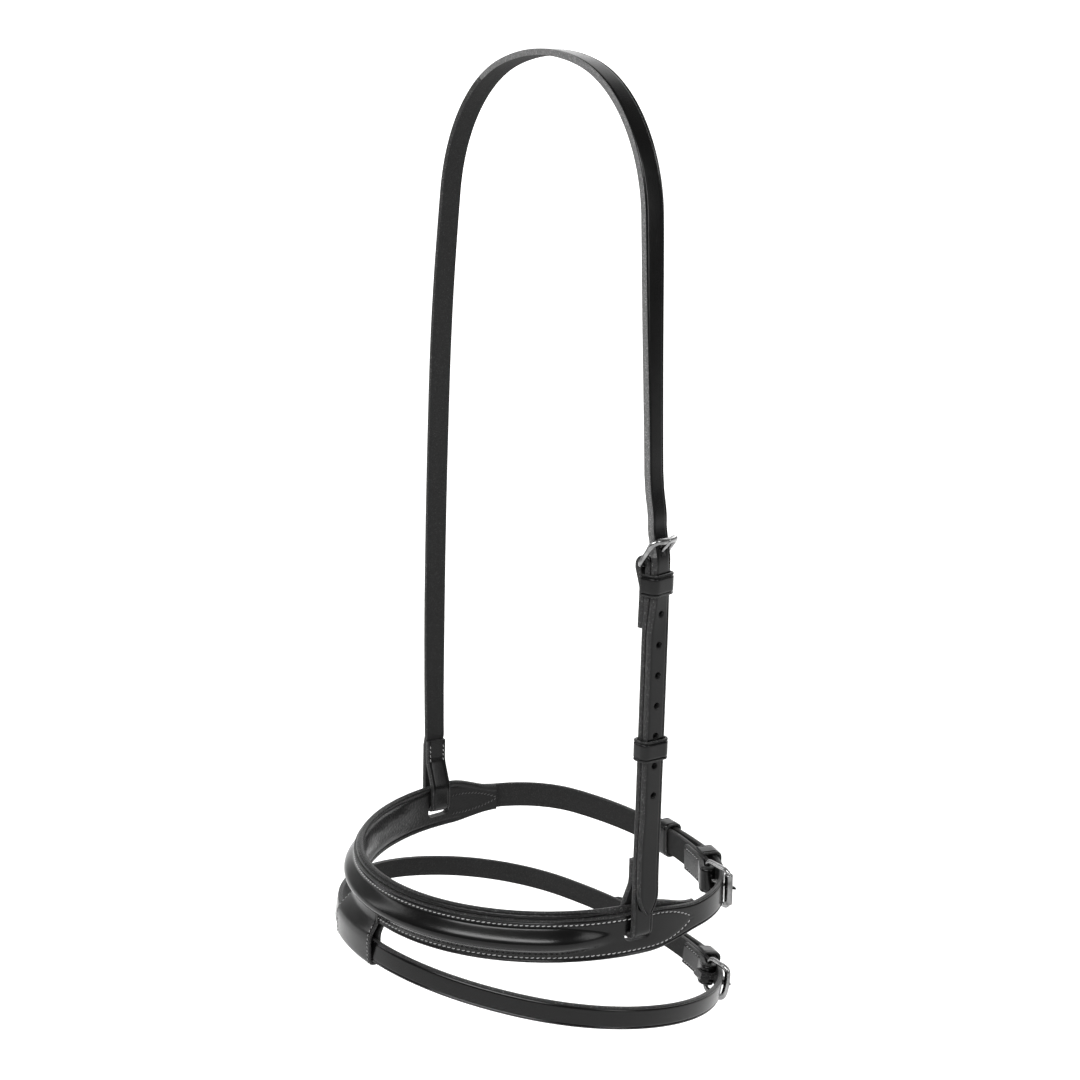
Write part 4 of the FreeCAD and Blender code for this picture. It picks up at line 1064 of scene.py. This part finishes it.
def flash_at(x):
    """Middle of the flash strap's front, as (y, z), at a given x."""
    points = [p for p in placed(FLASH.sides(0), FLASH_PLACE)[0] if p.y < -80]
    points.sort(key=lambda p: p.x)
    for a, b in zip(points, points[1:]):
        if a.x <= x <= b.x:
            t = (x - a.x) / max(1e-6, b.x - a.x)
            return a.y + (b.y - a.y) * t, a.z + (b.z - a.z) * t
    return points[0].y, points[0].z


def flash_tab():
    """Leather loop sewn under the noseband, for the flash strap."""
    tab_x, width = -24.0, 52.0
    leather = -math.sqrt(NOSE.front ** 2 - tab_x ** 2)
    strap_y, strap_z = flash_at(tab_x)
    middle = strap_z + DROP
    outer, inner = strap_y - 3.0, strap_y + 3.2
    path = rounded([(leather - 0.9, -6.5), (leather - 1.6, -12.5), (outer, middle + 8.4),
                    (outer, middle - 8.2), (inner, middle - 8.2), (inner, middle + 8.6),
                    (leather + 2.3, -13.5), (leather + 2.3, -8.0)],
                   {1: 8, 2: 9, 3: 2.6, 4: 2.6, 5: 8, 6: 6})
    points = [Vector((tab_x, y, z - DROP)) for (y, z), _ in path]
    normals = [Vector((0, ny, nz)) for _, (ny, nz) in path]
    centre = Vector((tab_x, strap_y, strap_z))
    half_way = len(points) // 2
    if (points[half_way] - centre).dot(frames(points, normals)[half_way][2]) < 0:
        normals = [-n for n in normals]

    def bend(place):
        """Curve the straight tab with the noseband above and the strap below."""
        above = smooth(place.z + DROP, -22, -12)
        y, z = flash_at(place.x)
        low = Vector((0, y - strap_y, z - strap_z))
        high = Vector((0, -math.sqrt(NOSE.front ** 2 - place.x ** 2) - leather, 0))
        return place + low.lerp(high, above)

    obj = strap("flash_tab_leather", points, normals, width, 1.6, "noseband",
                ["flash_loop_tab"], crease=0.2, inner=15, crown=0.1)
    for v in obj.data.vertices:
        v.co = bend(v.co / MM) * MM
    rows = []
    for side in (1, -1):
        rows.append([(bend(p + w * (side * (width / 2 - 2.0)) + n * 0.85), n)
                     for p, _, n, w in frames(points, normals) if p.z < -DROP - 14])
    stitches("flash_tab_stitches", rows, "noseband", pitch=2.4, long=1.6, wide=0.45)


head_strap()
near_cheek_strap()
nose_points, nose_normals, nose_path = nose_leather()
nose_stitches(nose_points, nose_normals, nose_path)
ring_stitches("chin_stitches", nose_points, nose_normals, 6.2, "noseband")
nose_lining()
lining_stitches()
flash_strap()
flash_tab()
keepers()
buckle("cheek_buckle_cast", CHEEK_FRAME, WIDE, 17.0, 1.6, "cheek_buckle",
       "cheek_buckle_frame")
buckle("chin_buckle_cast", CHIN_FRAME, 16.0, 20.0, 0.0, "chin_buckle", "chin_buckle_frame")
buckle("flash_buckle_cast", FLASH_FRAME, 13.0, 17.0, 1.2, "flash_buckle",
       "flash_buckle_frame")
tongue("cheek_tongue_pin", CHEEK_FRAME, 17.0, 1.5, "cheek_tongue", "cheek_buckle_tongue")
tongue("chin_tongue_pin", CHIN_FRAME, 20.0, 2.45, "chin_tongue", "chin_buckle_tongue")
tongue("flash_tongue_pin", FLASH_FRAME, 17.0, 1.5, "flash_tongue", "flash_buckle_tongue")
roller()


# ------------------------------------------------------------ floor and lights
def backdrop():
    """Pale floor that runs up into a wall far behind, as in a studio. Floor and wall glow like a
    lamp, as painted light: dimmer near the object, brighter far off and fading towards the sides.
    The near glow fills the object's shadow on the floor.
    """
    mesh = bpy.data.meshes.new("floor")
    size, height, far, tall = 14.0, -0.60, 4.0, 9.0
    back = Vector((-math.sin(rad(VIEW_AZIMUTH)), math.cos(rad(VIEW_AZIMUTH)), 0))
    side = Vector((0, 0, 1)).cross(back)
    rings = [(-size, 0.0)]
    rings += [(far - 1.2 + 1.2 * math.sin(rad(a)), 1.2 - 1.2 * math.cos(rad(a)))
              for a in range(0, 91, 10)]
    rings.append((far, tall))
    verts = []
    for along, up in rings:
        for hand in (-size, size):
            verts.append(back * along + side * hand + Vector((0, 0, height + up)))
    faces = [(k, k + 1, k + 3, k + 2) for k in range(0, 2 * len(rings) - 2, 2)]
    mesh.from_pydata([tuple(v) for v in verts], [], faces)
    mat, tree, shader, coords = material("pale_floor_painted_glow", (0.9, 0.9, 0.9), 0.9, specular=0.0)
    tree.links.new(ramp(tree, noise(tree, coords, 3, 2), [(0.3, 0.89), (0.7, 0.91)]),
                   shader.inputs["Base Color"])
    # Painted glow: the emission grows with distance from the object and fades towards the sides. It
    # lights the scene and fills the cast shadow under the object.
    shader.inputs["Emission Color"].default_value = (1, 1, 1, 1)
    reach = tree.nodes.new("ShaderNodeVectorMath")
    reach.operation = "LENGTH"
    tree.links.new(coords.outputs["Object"], reach.inputs[0])
    glow = tree.nodes.new("ShaderNodeMapRange")
    glow.inputs["From Min"].default_value = 1.0
    glow.inputs["From Max"].default_value = 3.6
    glow.inputs["To Min"].default_value = 0.3
    glow.inputs["To Max"].default_value = 0.95
    tree.links.new(reach.outputs["Value"], glow.inputs["Value"])
    sideways = tree.nodes.new("ShaderNodeVectorMath")
    sideways.operation = "DOT_PRODUCT"
    sideways.inputs[1].default_value = side
    tree.links.new(coords.outputs["Object"], sideways.inputs[0])
    apart = tree.nodes.new("ShaderNodeMath")
    apart.operation = "ABSOLUTE"
    tree.links.new(sideways.outputs["Value"], apart.inputs[0])
    fade = tree.nodes.new("ShaderNodeMapRange")
    fade.inputs["From Min"].default_value = 1.5
    fade.inputs["From Max"].default_value = 2.6
    fade.inputs["To Min"].default_value = 1.0
    fade.inputs["To Max"].default_value = 0.15
    tree.links.new(apart.outputs[0], fade.inputs["Value"])
    both = tree.nodes.new("ShaderNodeMath")
    both.operation = "MULTIPLY"
    tree.links.new(glow.outputs["Result"], both.inputs[0])
    tree.links.new(fade.outputs["Result"], both.inputs[1])
    tree.links.new(both.outputs[0], shader.inputs["Emission Strength"])
    mesh.materials.append(mat)
    mesh.polygons.foreach_set("use_smooth", [True] * len(mesh.polygons))
    obj = bpy.data.objects.new("floor", mesh)
    bpy.context.collection.objects.link(obj)


def area_light(name, spot, target, size, power):
    data = bpy.data.lights.new(name, "AREA")
    data.shape = "RECTANGLE"
    data.size, data.size_y = size
    data.energy = power
    obj = bpy.data.objects.new(name, data)
    obj.location = spot
    obj.rotation_euler = (Vector(target) - Vector(spot)).to_track_quat("-Z", "Y").to_euler()
    bpy.context.collection.objects.link(obj)


def camera():
    azimuth, elevation, distance = rad(VIEW_AZIMUTH), rad(13.6), 1.155
    target = Vector((0.0003, -0.005, -0.2695))
    away = Vector((math.sin(azimuth) * math.cos(elevation),
                   -math.cos(azimuth) * math.cos(elevation), math.sin(elevation)))
    data = bpy.data.cameras.new("camera")
    data.lens = 2020 / 1080 * 36
    data.sensor_width = 36
    obj = bpy.data.objects.new("camera", data)
    obj.location = target + away * distance
    obj.rotation_euler = (-away).to_track_quat("-Z", "Y").to_euler()
    bpy.context.collection.objects.link(obj)
    bpy.context.scene.camera = obj


backdrop()
area_light("key", (0.65, -1.25, 1.05), (0, 0, -0.4), (1.9, 0.55), 55)
area_light("left", (-1.3, -1.2, 0.3), (0, 0, -0.4), (0.3, 1.2), 5)
area_light("right", (1.6, 0.6, 0.5), (0, 0, -0.4), (0.4, 1.2), 12)
area_light("back", (-0.5, 1.6, 0.5), (0, 0, -0.4), (1.2, 0.6), 16)
camera()
world = bpy.data.worlds.new("world")
bpy.context.scene.world = world
world.use_nodes = True
world.node_tree.nodes["Background"].inputs["Color"].default_value = (1, 1, 1, 1)
world.node_tree.nodes["Background"].inputs["Strength"].default_value = 0.22
bpy.context.scene.view_settings.view_transform = "Standard"
